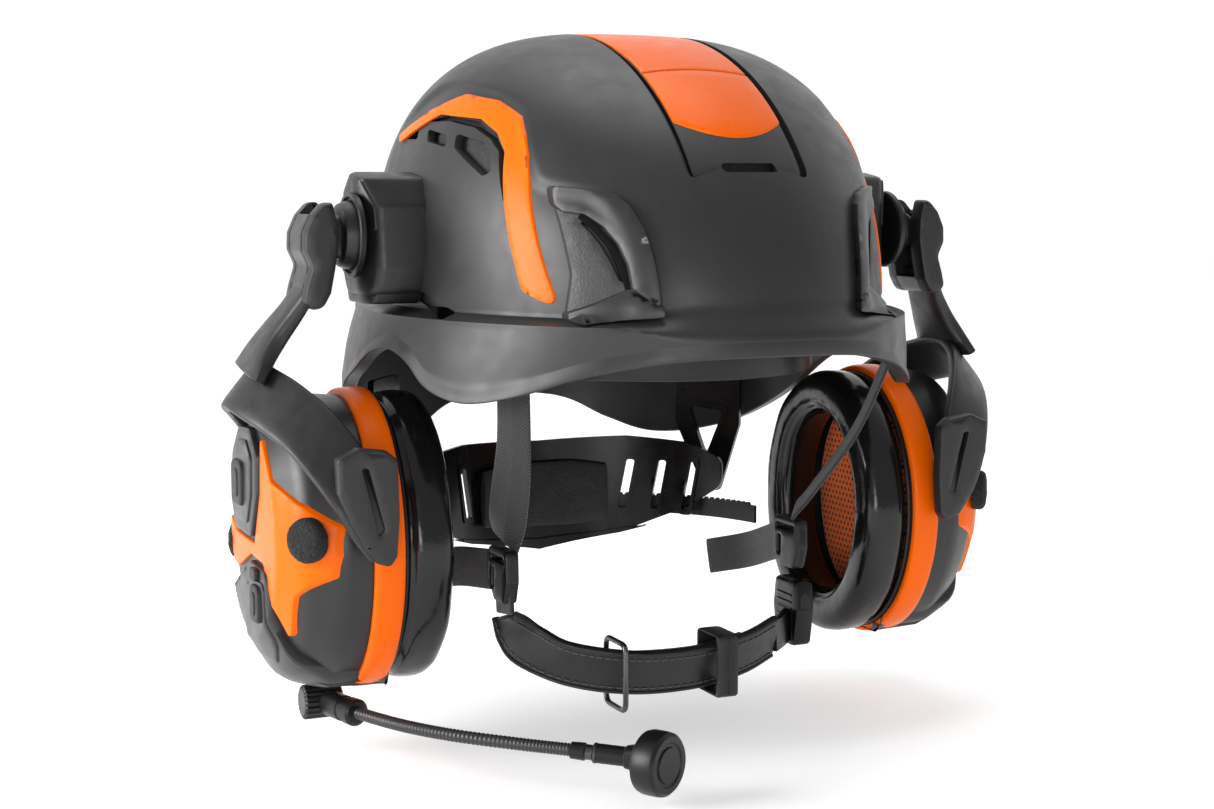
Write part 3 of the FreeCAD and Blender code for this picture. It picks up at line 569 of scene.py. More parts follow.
def pair(name, shape, look, node=None, crease=32, part_of=None):
    """One piece each side; `node` is the CAD node they stand for, `part_of` one that they only ride with."""
    made = []
    for side, hand in ((RIGHT, "right"), (LEFT, "left")):
        nodes = (f"{node}_{hand}",) if node else ()
        body = None if node else frame["nodes"][f"{part_of}_{hand}"]["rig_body"]
        made.append(build(f"{name}_{hand}", shape if side == RIGHT else flipped(shape), look, nodes,
                          crease, body))
    return made


def carried(names, look, bevel=0.4):
    """Keeps CAD nodes whose shape is right, with softened edges and a better material."""
    for name in names:
        item = frame["nodes"][name]
        item.data.materials.clear()
        item.data.materials.append(look)
        weld = item.modifiers.new("weld", "WELD")
        weld.merge_threshold = 0.01 * MM
        soften = item.modifiers.new("soften", "BEVEL")
        soften.width = bevel * MM
        soften.segments = 2
        soften.limit_method = "ANGLE"
        soften.angle_limit = math.radians(40)
        soften.harden_normals = False


def cut_away(piece, shape):
    """Takes a closed shape out of a piece for good."""
    points, faces, _ = shape
    mesh = clean_mesh("cutter", points, faces)
    cutter = added("cutter", mesh)
    modifier = piece.modifiers.new("cut", "BOOLEAN")
    modifier.operation = "DIFFERENCE"
    modifier.solver = "EXACT"
    modifier.object = cutter
    bpy.context.view_layer.update()
    graph = bpy.context.evaluated_depsgraph_get()
    result = bpy.data.meshes.new_from_object(piece.evaluated_get(graph))
    piece.modifiers.remove(modifier)
    old, piece.data = piece.data, result
    bpy.data.meshes.remove(old)
    bpy.data.objects.remove(cutter)
    bpy.data.meshes.remove(mesh)
    result.shade_smooth()
    result.set_sharp_from_angle(angle=math.radians(30))


# ---- the helmet's form ---------------------------------------------------------------------------------------

SKIRT = [(-31, 112, 133.5, 3.5), (12, 112.5, 138.5, 3.5), (28, 110, 140, 2), (40, 106.5, 141, 0)]
DOME_BASE, DOME_TOP, DOME_WIDTH, DOME_LENGTH, DOME_CENTRE = 46, 153, 98, 136, 2
WALL = 4
LEDGE = 43
BRIM = [(-160, 31.5), (-136, 31), (-112, 24), (-90, 15.5), (-70, 12), (-52, 16), (-38, 25), (-22, 29),
        (-6, 26),
        (10, 18), (25, 11), (50, -6), (80, -21), (108, -27), (124, -21), (138, -9), (160, -6)]
RIDGE = [(40, 108), (0, 131.5), (-33, 130), (-50, 125.5), (-60, 120), (-71.5, 107), (-79, 97), (-83.5, 93.6),
         (-98, 91), (-104, 88.6), (-110, 82.4), (-116.4, 72), (-121, 58), (-123, 44)]
BRIM_LINE = flow(BRIM, 8)
RIDGE_LINE = flow(RIDGE, 6)
SIDE_SINK = 1.5


def brim_height(y):
    for before, after in zip(BRIM_LINE, BRIM_LINE[1:]):
        if before[0] <= y <= after[0]:
            return before[1] + (after[1] - before[1]) * (y - before[0]) / (after[0] - before[0])
    return BRIM_LINE[0][1] if y < 0 else BRIM_LINE[-1][1]


def sink(y, z):
    """How far the side field, with the stripe, vents and lamp clip, lies below the crown's surface."""
    if y > 38 or y < -123 or z < 40:
        return 0.0
    nearest, line_height = 1e9, -1e9
    for before, after in zip(RIDGE_LINE, RIDGE_LINE[1:]):
        run, rise = after[0] - before[0], after[1] - before[1]
        share = ((y - before[0]) * run + (z - before[1]) * rise) / (run * run + rise * rise)
        share = min(max(share, 0.0), 1.0)
        nearest = min(nearest, math.hypot(y - before[0] - share * run, z - before[1] - share * rise))
        if after[0] <= y <= before[0]:
            line_height = before[1] + rise * (y - before[0]) / run
    if z > line_height:
        return 0.0
    return SIDE_SINK * smoothstep(nearest / 4.5) * (1 - smoothstep((y - 2) / 34)) * smoothstep((z - 42) / 3)


def section(z, inset, side_on=1.0):
    """Half width, half length and centre of the level oval at a height. `side_on` sharpens the ledge."""
    reach = 1.3 if side_on > 0.99 else 7 - 5.7 * side_on
    share = smoothstep((z - LEDGE) / (2 * reach) + 0.5)
    skirt = SKIRT[-1][1:]
    for low, high in zip(SKIRT, SKIRT[1:]):
        if z <= high[0]:
            t = max((z - low[0]) / (high[0] - low[0]), 0.0)
            skirt = [a + (b - a) * t for a, b in zip(low[1:], high[1:])]
            break
    step = min(max((z - DOME_BASE) / (DOME_TOP - inset - DOME_BASE), 0.0), 0.99999)
    dome = (DOME_WIDTH * (1 - step ** 3) ** (1 / 3), DOME_LENGTH * (1 - step ** 1.9) ** (1 / 1.9),
            DOME_CENTRE)
    wide, long, centre = [a + (b - a) * share for a, b in zip(skirt, dome)]
    full = 1 - inset / DOME_WIDTH, 1 - inset / DOME_LENGTH
    return wide * full[0], long * full[1], centre


def side_place(u, v, height):
    """From the side drawing (y, z) to the wearer's right side of the helmet."""
    wide, long, centre = section(v, sink(u, v) - height)
    return Vector((-wide * math.sqrt(max(1 - ((u - centre) / long) ** 2, 0.0)), u, v))


def front_place(u, v, height):
    """From the front drawing (x, z) to the front of the helmet."""
    y = 0.0
    inset = -height
    for _ in range(2):
        wide, long, centre = section(v, inset)
        y = centre - long * math.sqrt(max(1 - (u / wide) ** 2, 0.0))
        inset = sink(y, v) - height
    return Vector((u, y, v))


def top_place(u, v, height):
    """From the plan drawing (x, y) up to the crown."""
    low, high = DOME_BASE, DOME_TOP + height - 0.01
    for _ in range(30):
        z = (low + high) / 2
        wide, long, centre = section(z, -height)
        if (u / wide) ** 2 + ((v - centre) / long) ** 2 < 1:
            low = z
        else:
            high = z
    return Vector((u, v, z))


STRIPE = [(22, 111.8), (-7, 121.5), (-25, 126.5), (-44, 123.5), (-60, 117), (-67, 110), (-72, 103),
          (-95.5, 47.5),
          (-82, 53.2), (-62, 104), (-54.5, 111), (-43, 116.5), (-16, 119), (17, 108.5)]
GROOVE = [(-5, 116.2), (-19, 118.3), (-41.5, 115.6), (-53.3, 110.2), (-61, 103.4), (-70.5, 80.5),
          (-58.2, 104.0),
          (-51.2, 109.0), (-40.4, 113.4), (-23.3, 116.2)]
VENTS = [[(-32, 111.3), (-34.5, 105.6), (-55, 95), (-58.5, 96.5), (-54, 104.5), (-49.5, 107.6)],
         [(-9, 113.5), (-13, 108.5), (-29, 106), (-26, 110.8)],
         [(12, 113), (10, 109.8), (-2, 109.5), (0, 113.2)]]
PANEL = (22.4, -113.2, 111)
GUTTER = 2.4
PANEL_DEPTH = 2.7


def shell_rows():
    """Rows of points from the crown down the outside, round the brim's lip and back up the inside."""
    columns = 360
    dome_rows = 120
    bends = []
    for column in range(columns):
        turn = 2 * math.pi * column / columns
        bends.append((math.cos(turn), math.sin(turn), smoothstep((abs(math.cos(turn)) - 0.25) / 0.3)))

    def ring(height, inset, from_brim=None, flare=0.0):
        row = []
        for a, b, side_on in bends:
            z = height
            if from_brim is not None:
                z = 0.0
                for _ in range(6):
                    wide, long, centre = section(z, 0, side_on)
                    low = brim_height(centre + long * b)
                    z = low + from_brim * (LEDGE - 5 - low) if height is None else low + height
            wide, long, centre = section(z, inset - flare, side_on)
            depth = sink(centre + long * b, z) if inset < 1 else 0.0
            if depth:
                wide, long, centre = section(z, inset + depth, side_on)
            row.append(Vector((wide * a, centre + long * b, z)))
        return row

    outside = [ring(DOME_BASE + 4 + (DOME_TOP - DOME_BASE - 4) * (1 - (1 - step / dome_rows) ** 3) * 0.99999,
                    0)
               for step in range(dome_rows, -1, -1)]
    outside += [ring(LEDGE + shift, 0) for shift in (5.5, 4, 3, 2, 1.2, 0.6, 0, -0.6, -1.2, -2, -3, -4)]
    outside += [ring(None, 0, share) for share in (1, 0.86, 0.72, 0.58, 0.44, 0.32)]
    lip = [ring(height, 0, 0, flare)
           for height, flare in ((5.4, 0), (5.0, 0.1), (3.4, 0.5), (1.2, 1.1), (0.4, 1.1),
                                                          (0, 0.6))]
    inside = [ring(0, WALL - 0.4, 0), ring(0.6, WALL, 0), ring(5.4, WALL, 0)]
    inside += [ring(None, WALL, share) for share in (0.4, 0.7, 1)]
    top = DOME_TOP - WALL
    inside += [ring(DOME_BASE + (top - DOME_BASE) * (1 - (1 - step / 30) ** 3) * 0.9999,
                    WALL) for step in range(31)]
    return outside + lip + inside


def make_shell():
    shell = build("helmet_shell", skin(shell_rows()), SHELL, ["shell"], crease=28)
    cutters = []
    for corners in VENTS:
        cutters.append(both(plate(rounded(corners, 1.6), side_place, -7, 6, 0.3)))
    cutters.append(both(plate(rounded(GROOVE, 0.5), side_place, -2.4, 6, 0.1, step=2.0)))
    rail = [(-15, 49), (-13, 53.5), (-56, 42), (-58, 36)]
    cutters.append(both(plate(rounded(rail, 2), rail_place, -3.4, 8, 0.3)))
    half = PANEL[0] + GUTTER
    cutters.append(plate(box(-half, PANEL[1] - 0.8, half, PANEL[2] + 0.8, 4), top_place, -PANEL_DEPTH, 6,
                         0.3, step=4.0))
    cut_away(shell, joined(*cutters))
    cut_away(shell, brow_slot())


def rail_place(u, v, height):
    """Like side_place, for the pocket that crosses the ledge."""
    wide, long, centre = section(max(v, LEDGE + 4), -height)
    return Vector((-wide * math.sqrt(1 - ((u - centre) / long) ** 2), u, v))


def brow_slot():
    front = rounded([(-11.5, 96.4), (11.5, 96.4), (10.5, 99.6), (-10.5, 99.6)], 1.4)
    return plate(front, facing_y(-108, -1), 0, 14, 0.2)


def make_crown():
    half, front, rear = PANEL
    panel = build("crown_panel_cover",
                  plate(box(-half, front, half, rear, 3.5), top_place, -2.4, -0.9, 0.4, step=4.0),
                  SHELL, ["crown_panel"], crease=28)
    cut_away(panel, brow_slot())
    edge = half - 0.3
    curve = [Vector((edge * t, -104 + 9 * t * t)) for t in [step / 6 for step in range(-6, 7)]]
    front_inlay = curve + [Vector((edge, -69)), Vector((-edge, -69))]
    rear_inlay = box(-edge, -68, edge, 10, 0.6)
    inlays = [plate(outline, top_place, -1.0, -0.15, 0.35, step=4.0) for outline in (front_inlay, rear_inlay)]
    build("crown_orange_inlays", joined(*inlays), ORANGE, ["crown_inlays"])


def make_shell_trim():
    patches = []
    patch = rounded([(17, 116), (-30, 117), (-62, 106), (-62, 93), (-34, 98), (17, 104)], 3)
    patches.append(both(plate(patch, side_place, -6.0, -4.6, 0.2)))
    brow = box(-15, 93, 15, 102, 2)
    patches.append(plate(brow, front_place, -8.0, -6.8, 0.2))
    build("vent_mesh", joined(*patches), GRILLE, ["vent_grilles"])
    build("side_stripe_inlays", both(plate(rounded(STRIPE, 5.0), side_place, -0.4, 0.9, 0.12, step=2.0)),
          ORANGE,
          ["side_stripes"])


def make_lamp_clips():
    """A textured plate with a curved finger slit, a near-black strip of painted shade in the slit, a smooth hooked
    bar round it and a wedge under both.
    """
    field = [(-66, 44), (-64, 60), (-66, 84), (-58, 82), (-53, 74), (-47, 60), (-46, 49)]
    slit = [(-58.2, 79.6), (-55.4, 75.8), (-52.8, 70.2), (-50.6, 63.6), (-49.2, 57.2), (-51.4, 58.2),
            (-53.4, 64.6),
            (-55.8, 70.8), (-58.0, 75.0), (-60.2, 78.4)]
    textured = plate(rounded(field, 1.0), front_place, -0.3, 1.5, 0.4, holes=[rounded(slit, 0.6)], step=2.5)
    build("lamp_clip_fields", both(textured), TEXTURED, ["lamp_clip_plates"])
    # painted shade: this near-black strip stands for the shade in the finger slit, not for a part of the clip
    shade_strip = [(-61, 80), (-57, 76), (-53.6, 70), (-51.4, 63), (-50, 55), (-47, 55), (-49, 64),
                   (-52, 71.5), (-56, 78),
                   (-59.6, 82)]
    build("lamp_clip_slit_shade", both(plate(shade_strip, front_place, -0.3, 1.7, 0.2, step=2.0)), SLIT_SHADE_BLACK,
          body="root")
    bar = [(-67, 91.6), (-66.9, 84.8), (-65.2, 82.4), (-59.2, 81.4), (-54.6, 77.0), (-51.2, 70.6),
           (-49.2, 63.3),
           (-48.4, 55.2), (-40.6, 48.3), (-40.9, 55.1), (-41.7, 64.8), (-43.6, 76.7), (-46.7, 84.7),
           (-50.0, 88.2),
           (-56.0, 90.2)]
    hook = plate(rounded(bar, 1.6), front_place, -0.3, 2.8, 0.35, step=2.0)

    def wedge_place(u, v, height):
        rise = smoothstep((56 - v) / 9)
        return front_place(u, v, height * (0.4 + 0.6 * rise) if height > 0 else height)

    base = [(-66.2, 42.6), (-66.4, 46.4), (-59.5, 49.6), (-49.2, 55.4), (-40.0, 48.6), (-39.6, 45.6)]
    wedge = plate(rounded(base, 1.6), wedge_place, -0.3, 3.7, 0.35, step=2.0)
    build("lamp_clip_bars", both(joined(hook, wedge)), PLASTIC_SATIN, ["lamp_clip_hooks"])


# ---- arm, yoke and mount on the wearer's right -----------------------------------------------------------------

AXIS_Y, MOUNT_FACE = -13, 117.6
SWIVEL_Z, TILT_X, TILT_Z = 72.5, -134, 70


def make_ear_mounts():
    """The block that the arm swivels on, with its cover cap."""
    outline = [(-23, 49), (-25, 60), (-24, 84), (-17, 95), (-3, 97), (6, 90), (9, 60), (2, 49)]

    def mount_place(u, v, height):
        if height < -20:
            return side_place(u, v, -0.8)
        slope = smoothstep((-12 - u) / 20)
        return Vector((-MOUNT_FACE + 8.5 * slope - height, u, v))

    block = plate(rounded(outline, 5), mount_place, -99, 0, 2.4, step=2.5)
    cap = plate(rounded([(-23.4, 74), (-22.6, 84), (-16.5, 93.6), (-8, 94), (-8, 74)], 2.0), mount_place,
                -0.5, 0.5, 0.35)
    foot = plate(rounded([(-20, 46), (-24, 54), (8, 54), (4, 46)], 2), mount_place, -99, -1.6, 1.0)
    pair("ear_mount_block", joined(block, cap, foot), ARM_DARK, "ear_mount")


def make_discs():
    """The swivel disc with its dark groove, and the lug that carries the tilting arm."""
    rings = [(0, 15.4), (0.6, 16.3), (2.4, 16.5), (2.9, 16.0), (2.9, 14.8), (1.5, 14.5), (1.5, 13.4),
             (4.6, 13.0),
             (6.8, 12.0), (7.5, 10.8), (7.6, 8.0), (7.6, 0.02)]
    disc = lathe((-MOUNT_FACE - 0.3, AXIS_Y, SWIVEL_Z), (-1, 0, 0), rings, 64)
    lug = sweep([(-121, AXIS_Y, 72, 0, 1, 0, 13.6, 19), (-127, AXIS_Y, 71.4, 0, 1, 0, 13.6, 17),
                 (-132, AXIS_Y, 70.4, 0, 1, 0, 13.4, 11), (-135.4, AXIS_Y, 70, 0, 1, 0, 12.6, 8.2)])
    pair("swivel_disc", joined(disc, lug), ARM_DARK, "swivel_disc")


def make_arms():
    """Two cheeks and an outer web round the hinge pin, a waisted neck and the flared end that holds the yoke."""
    wing = [(-130.6, 85.4), (-134.4, 84.8), (-138.6, 80.2), (-141.6, 73.5), (-141.8, 67), (-139.0, 61),
            (-141.2, 54),
            (-142.6, 48), (-139.4, 44.6), (-134.6, 45.6), (-131.6, 51), (-129.8, 60), (-128.6, 68),
            (-128.7, 77)]
    outer = rounded(wing, 4.5, 6)
    inner = moved_in(outer, 2.6)
    kept = [index for index, spot in enumerate(outer) if spot.x < -130.5 and spot.y < 81]
    web = [outer[index] for index in kept] + [inner[index] for index in reversed(kept)]
    front = plate(outer, facing_y(-20.4, -1), 0, 7.6, 2.2, step=2.0)
    rear = plate(outer, facing_y(-5.6), 0, 7.6, 2.2, step=2.0)
    bridge = plate(web, facing_y(-22.8), 0, 19.6, 0.02, step=2.5)
    pin = lathe((TILT_X, AXIS_Y - 12, TILT_Z), (0, 1, 0), [(0, 2.2), (0.5, 2.8), (23.5, 2.8), (24, 2.2)], 24)
    neck = sweep([(-137.4, AXIS_Y, 55, 0, 1, 0, 24, 5), (-139.8, AXIS_Y + 0.3, 49.5, 0, 1, 0, 22, 6.6),
                  (-143.6, AXIS_Y + 2, 43, 0, 1, 0, 21, 7.6), (-149.0, AXIS_Y + 5, 35, 0, 1, 0, 25, 8.4),
                  (-154, -6, 27.5, 0, 1, 0, 32, 8.4), (-158.4, -5, 20.0, 0, 1, 0, 40, 7.6)], power=3.2,
                 steps=12)
    pair("arm_body", joined(front, rear, bridge, pin, neck), ARM, "arm")


def make_yokes():
    """The arch over the cup, its two broad pads with a slit in each, the pivot pins and the sliding stem."""
    leg = [(-125.2, -60.6, -44.5, 1, 0, 0, 8, 3.6), (-128.4, -60.4, -34, 1, 0, 0.1, 15, 4.2),
           (-132.0, -58.0, -22.5, 0.97, 0, 0.3, 20, 4.6), (-137.5, -52.0, -11.0, 0.92, 0, 0.4, 22, 4.8),
           (-145.0, -42.5, 0.5, 0.82, 0, 0.6, 22.5, 5.0), (-152.6, -30, 8.6, 0.72, 0, 0.72, 23, 5.2),
           (-158.2, -17, 13.2, 0.66, 0, 0.76, 23, 5.4)]
    crown = (-160.0, -5, 15.2, 0.64, 0, 0.78, 23, 5.6)
    rear = [(x, -10 - y, z, a, b, c, wide, thick) for x, y, z, a, b, c, wide, thick in reversed(leg)]
    arch = sweep(leg + [crown] + rear, power=5, steps=7, count=32)
    pad = [(-141, -7), (-133, -3.5), (-122, -5), (-117.8, -8.6), (-117.3, -30), (-118.4, -44.5),
           (-121, -48.4),
           (-126, -46.8), (-131, -41), (-136.2, -31.5), (-140.6, -20)]
    slit = [(-131.4, -11), (-129.4, -11.6), (-123.6, -34), (-125.2, -36)]
    parts = [arch]
    for sign, face in ((-1, -58.6), (1, 48.6)):
        parts.append(plate(rounded(pad, 2.5), facing_y(face, sign), 0, 5.0, 1.4,
                           holes=[rounded(slit, 0.8)], step=2.5))
        parts.append(lathe((-127, -5 + sign * 45.5, -42), (0, sign, 0), [(0, 2.5), (0.4, 2.95), (10, 2.95)],
                           24))
    parts.append(sweep([(-146.5, -4, 37, 0, 1, 0, 11.6, 2.6), (-153.5, -4, 26, 0, 1, 0, 11.6, 2.6),
                        (-160.2, -4, 15.4, 0, 1, 0, 11.6, 2.6)], power=6))
    pair("yoke_arch", joined(*parts), ARM, "yoke")


# ---- ear cup on the wearer's right -----------------------------------------------------------------------------

CUP_Y, CUP_Z, CUP_DEPTH, CUP_HEIGHT = -5, -46.5, 49, 59
CUP_STATIONS = [(111.6, -2.5, -2.5, 0, 0), (124.2, -2.5, -2.5, 0, 0), (135, -2, -1.5, 1, 0),
                (148, -6.5, -6.5, 4, 2),
                (155, -14.5, -18.5, 9, 5)]


def softened(stations, share, steps):
    """Straight runs through the stations with each bend cut into a short curve."""
    rows = [np.array(station, float) for station in stations]
    run = [rows[0]]
    for a, b, c in zip(rows, rows[1:], rows[2:]):
        start, end = b + (a - b) * share, b + (c - b) * share
        run += [start * (1 - t) ** 2 + b * 2 * t * (1 - t) + end * t ** 2
                for t in [step / steps for step in range(steps + 1)]]
    return run + [rows[-1]]


CUP_RUN = softened(CUP_STATIONS, 0.3, 6)
FACE_CROWN = 0.8
KEY_FACE = 156.5


def cup_oval(row, growth):
    reach, less_depth, less_height, shift_y, shift_z = row
    return (reach + growth * smoothstep((reach - 136) / 10), CUP_DEPTH + less_depth + growth,
            CUP_HEIGHT + less_height + growth, CUP_Y + shift_y, CUP_Z + shift_z)


def cup_place(u, v, height):
    """From the side drawing (y, z) to the outside of the right cup."""
    outer = None
    for row in reversed(CUP_RUN):
        reach, half_y, half_z, centre_y, centre_z = cup_oval(row, height)
        out = math.hypot((u - centre_y) / half_y, (v - centre_z) / half_z)
        if out <= 1:
            if outer is None:
                return Vector((-(reach + FACE_CROWN * (1 - out * out)), u, v))
            share = (outer[0] - 1) / (outer[0] - out)
            return Vector((-(outer[1] + (reach - outer[1]) * share), u, v))
        outer = (out, reach)
    return Vector((-reach, u, v))


def make_cup_shells():
    columns = 96
    rows = []
    for reach, thin in ((127, 6), (113, 6), (112, 5.6)):
        rows.append([Vector((-reach, CUP_Y + (CUP_DEPTH - thin) * a, CUP_Z + (CUP_HEIGHT - thin) * b))
                     for a, b in superoval(2, columns)])
    for row in CUP_RUN:
        reach, half_y, half_z, centre_y, centre_z = cup_oval(row, 0)
        rows.append([Vector((-reach, centre_y + half_y * a, centre_z + half_z * b))
                     for a, b in superoval(2, columns)])
    for share in (0.97, 0.85, 0.65, 0.4, 0.15, 0.02):
        rows.append([Vector((-(reach + FACE_CROWN * (1 - share * share)), centre_y + half_y * a * share,
                             centre_z + half_z * b * share)) for a, b in superoval(2, columns)])
    pair("cup_shell", skin(rows), CUP, "cup_shell", crease=24)


def make_cup_bands():
    profile = [(112.2, -2.4), (112.2, -0.7), (112.7, -0.1), (114.2, 0.25), (118, 0.45), (121.8, 0.25),
               (123.4, -0.1),
               (123.9, -0.7), (123.9, -2.4)]
    band = hoop(CUP_Y, CUP_Z, CUP_DEPTH, CUP_HEIGHT, profile)
    pair("cup_band_ring", band, ORANGE, "cup_band", crease=60)


def make_cushions():
    """Vinyl ring: crowned, pinched in at the welted seam near the cup and again round the ear opening."""
    profile = []
    for step in range(48):
        turn = 2 * math.pi * step / 48
        a, b = math.cos(turn), math.sin(turn)
        out = math.copysign(abs(a) ** 0.72, a) * 9.0
        reach = 101.0 + math.copysign(abs(b) ** 0.72, b) * 10.2
        pinch = sum(math.exp(-((math.degrees(turn) - seam + 180) % 360 - 180) ** 2 / 40) for seam in (38, 236))
        profile.append((reach + (101.0 - reach) * 0.07 * pinch, out * (1 - 0.07 * pinch)))
    ring_points, faces, uv = hoop(CUP_Y, CUP_Z, 38.4, 48.4, profile, 128)
    soft = []
    for point in ring_points:
        swell = noise.noise(point * 0.045) * 0.55 + noise.noise(point * 0.16) * 0.16
        middle = Vector((-101.0, CUP_Y + (point.y - CUP_Y) * 0.8, CUP_Z + (point.z - CUP_Z) * 0.83))
        soft.append(point + (point - middle).normalized() * swell)
    for piece in pair("ear_cushion", (soft, faces, uv), VINYL, "cushion", crease=70):
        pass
    welt = hoop(CUP_Y, CUP_Z, CUP_DEPTH - 3.4, CUP_HEIGHT - 3.4,
                [(110.9 + 0.9 * a, 0.9 * b) for a, b in superoval(2, 10)], 128)
    pair("cushion_welt", welt, PLASTIC, None, part_of="cushion")


def make_ear_foams():
    """Perforated cloth over foam behind the ear opening."""
    disc = plate(oval(CUP_Y, CUP_Z, 35.5, 45.5, 72), facing_x(-118), 0, 3.4, 1.4)
    for piece in pair("ear_mesh", disc, MESH, "ear_foam"):
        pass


def make_faces():
    """Orange face plate, two grey control pods, their rubber buttons and the foam wind shields."""
    cross = [(-11, -3), (-25, -19), (-42, -27), (-49.8, -34), (-50.4, -45), (-49.4, -53.5), (-38.5, -61.5),
             (-32, -77), (-29.5, -79), (-23, -66), (-14, -53), (4, -52), (28, -61), (40.5, -59), (42.3, -41),
             (28, -47),
             (-2, -47), (-11, -26)]
    pair("face_cover", plate(rounded(cross, 2.0), cup_place, -0.6, 1.4, 0.4, step=1.8), ORANGE, "face_plate",
         crease=24)
    upper = [(-8.6, -11), (2, -2), (20, -3), (31, -14), (34, -34), (26, -45), (0, -45), (-8.6, -28)]
    lower = [(-20, -55.5), (4, -54.5), (22, -63.5), (35, -70), (33, -87), (19, -103), (-26, -103),
             (-30.6, -92),
             (-22.6, -78)]
    dishes = [[(-3, -13), (5, -7), (18, -8), (26, -16), (28, -32), (22, -40), (3, -40), (-3, -28)],
              [(-19, -60), (1, -60), (8, -66), (10, -84), (2, -92), (-17, -92), (-22, -84), (-19, -74)]]
    shapes = []
    for outline, dish in zip((upper, lower), dishes):
        shapes.append(plate(rounded(outline, 5), cup_place, -0.6, 2.5, 1.2, step=1.8))
        shapes.append(plate(rounded(dish, 4), cup_place, 1.6, 3.2, 0.6, step=1.8))
    pair("control_pod", joined(*shapes), POD, "control_pods", crease=28)
    for name, node, centre, half in (("upper_key", "button_upper", (15, -25), (8.0, 9.0)),
                                     ("lower_key", "button_lower", (-10, -69), (6.4, 7.4))):
        y, z = centre
        key = plate(box(y - half[0], z - half[1], y + half[0], z + half[1], 4.5),
                    facing_x(-KEY_FACE, -1), 0.9, 3.7, 1.0, step=2.0)
        lift = plate(box(y - half[0] * 0.45, z - half[1] * 0.62, y + half[0] * 0.45, z + half[1] * 0.62, 2.5),
                     facing_x(-KEY_FACE, -1), 3.5, 4.2, 0.3, step=2.0)
        pair(name, joined(key, lift), RUBBER, node)
    small_key = plate(box(-11, -60.5, -3.5, -55.5, 1.5), cup_place, 2.6, 4.2, 0.6, step=2.0)
    pair("mode_key", small_key, RUBBER, None, part_of="control_pods")
    domes = []
    for centre, out in (((-146.5, -45.5, -39), (-0.82, -0.57, 0)), ((-149.5, 43.5, -53), (-0.82, 0.57, 0))):
        points, faces, uv = lathe(centre, out,
                                  [(0, 8.4), (1.5, 8.5), (3.2, 8.45), (4.4, 7.9), (5.2, 6.9), (5.6, 5.4),
                                                (5.8, 3.4), (5.85, 1.2), (5.85, 0.02)], 56)
        rough = [point + Vector(out) * (noise.noise(point * 1.6) * 0.3)
                 + (point - Vector(centre)).normalized() * (noise.noise(point * 1.3 + Vector((9, 4, 2))) * 0.2)
                 for point in points]
        domes.append((rough, faces, uv))
    pair("wind_foam", joined(*domes), WIND_FOAM, "mic_foams", crease=60)


def make_boom():
    """Ribbed hub and barrel, ribbed gooseneck, two ferrules on a sleeve, and the round microphone head."""
    hub = lathe((-138, 4, -114), (1, 0, 0), [(0, 5.6), (0.8, 6.9), (15.2, 6.9), (16, 5.6)], 72,
                lambda turn, along: 1 - 0.07 * (math.cos(turn * 18) > 0))
    barrel = lathe((-128, 0, -114), (0.28, -0.96, 0),
                   [(-3, 4.6), (1, 5.2), (12, 5.2), (12.6, 4.7), (15.4, 4.7),
                                                       (16, 5.4), (20.2, 5.4), (21, 4.4), (21, 2.6)], 48)
    lug = sweep([(-129, 4, -101, 1, 0, 0, 13, 8), (-129.5, 4, -104.4, 1, 0, 0, 13, 7),
                 (-130, 4, -106.9, 1, 0, 0, 12, 5)])
    build("boom_lug", lug, CUP, body="cup_right")
    build("boom_joint", joined(hub, barrel), PLASTIC, ["boom_socket"], crease=28)
    route = [(-122.6, -18.5, -114), (-112, -42, -114.2), (-98, -62, -114.6), (-78, -80, -115.6),
             (-61, -92.6, -116.6)]
    line = flow([(*point, 0, 0, 1, 5, 5) for point in route], 64)
    ribbed = []
    for index, station in enumerate(line):
        ripple = 1 - 0.09 * (index % 4 < 2)
        ribbed.append((*station[:6], station[6] * ripple, station[7] * ripple))
    build("boom_tube", sweep(ribbed, power=2, steps=1, count=20), GOOSENECK, ["boom_gooseneck"],
          crease=50)
    along = Vector((0.8, -0.58, -0.06))
    ferrule = lathe((-61.6, -92.3, -116.6), along, [(-0.4, 2.6), (0, 3.2), (5.2, 3.4), (6, 2.6)], 32)
    sleeve = lathe((-55, -97, -117.1), along, [(0, 3.0), (0.5, 3.7), (13.5, 3.7), (14, 3.0)], 36)
    build("boom_sleeves", joined(ferrule, sleeve), PLASTIC, ["boom_fittings"], crease=28)
    rings = [lathe((-61.6, -92.3, -116.6), along, [(5.4, 1.0), (5.4, 2.9), (8.6, 2.9), (8.6, 1.0)], 32)]
    rings += [lathe((-55, -97, -117.1), along, [(at, 3.2), (at + 0.1, 3.9), (at + 0.9, 3.9), (at + 1, 3.2)],
                    32)
              for at in (0.6, 12.2)]
    build("boom_rings", joined(*rings), STEEL, body="boom")
    head = lathe((-34, -119, -118.6), (-0.5, 0.86, 0),
                 [(-0.2, 0.02), (-0.2, 6.6), (0.5, 6.9), (0.5, 8.0), (0, 8.4),
                 (0, 10.6), (1.2, 11.8), (3, 12.1), (8, 12.1), (9.8, 11.6), (11, 10), (11.2, 0.02)], 64)
    neck = sweep([(-44.6, -104.4, -117.9, 0, 0, 1, 8.4, 8.4), (-39.5, -108.6, -118.2, 0, 0, 1, 11.5, 9.5),
                  (-35, -113, -118.6, 0, 0, 1, 17, 9.5)], power=2.6)
    build("boom_head", joined(head, neck), PLASTIC, ["mic_head"], crease=28)


# ---- straps --------------------------------------------------------------------------------------------------

def strip(points, across, width, thickness, **shape):
    """A sweep of one width through plain points; `across` is one direction or one for each point."""
    many = isinstance(across[0], tuple)
    return sweep([(*point, *(across[index] if many else across), width, thickness)
                  for index, point in enumerate(points)], **shape)


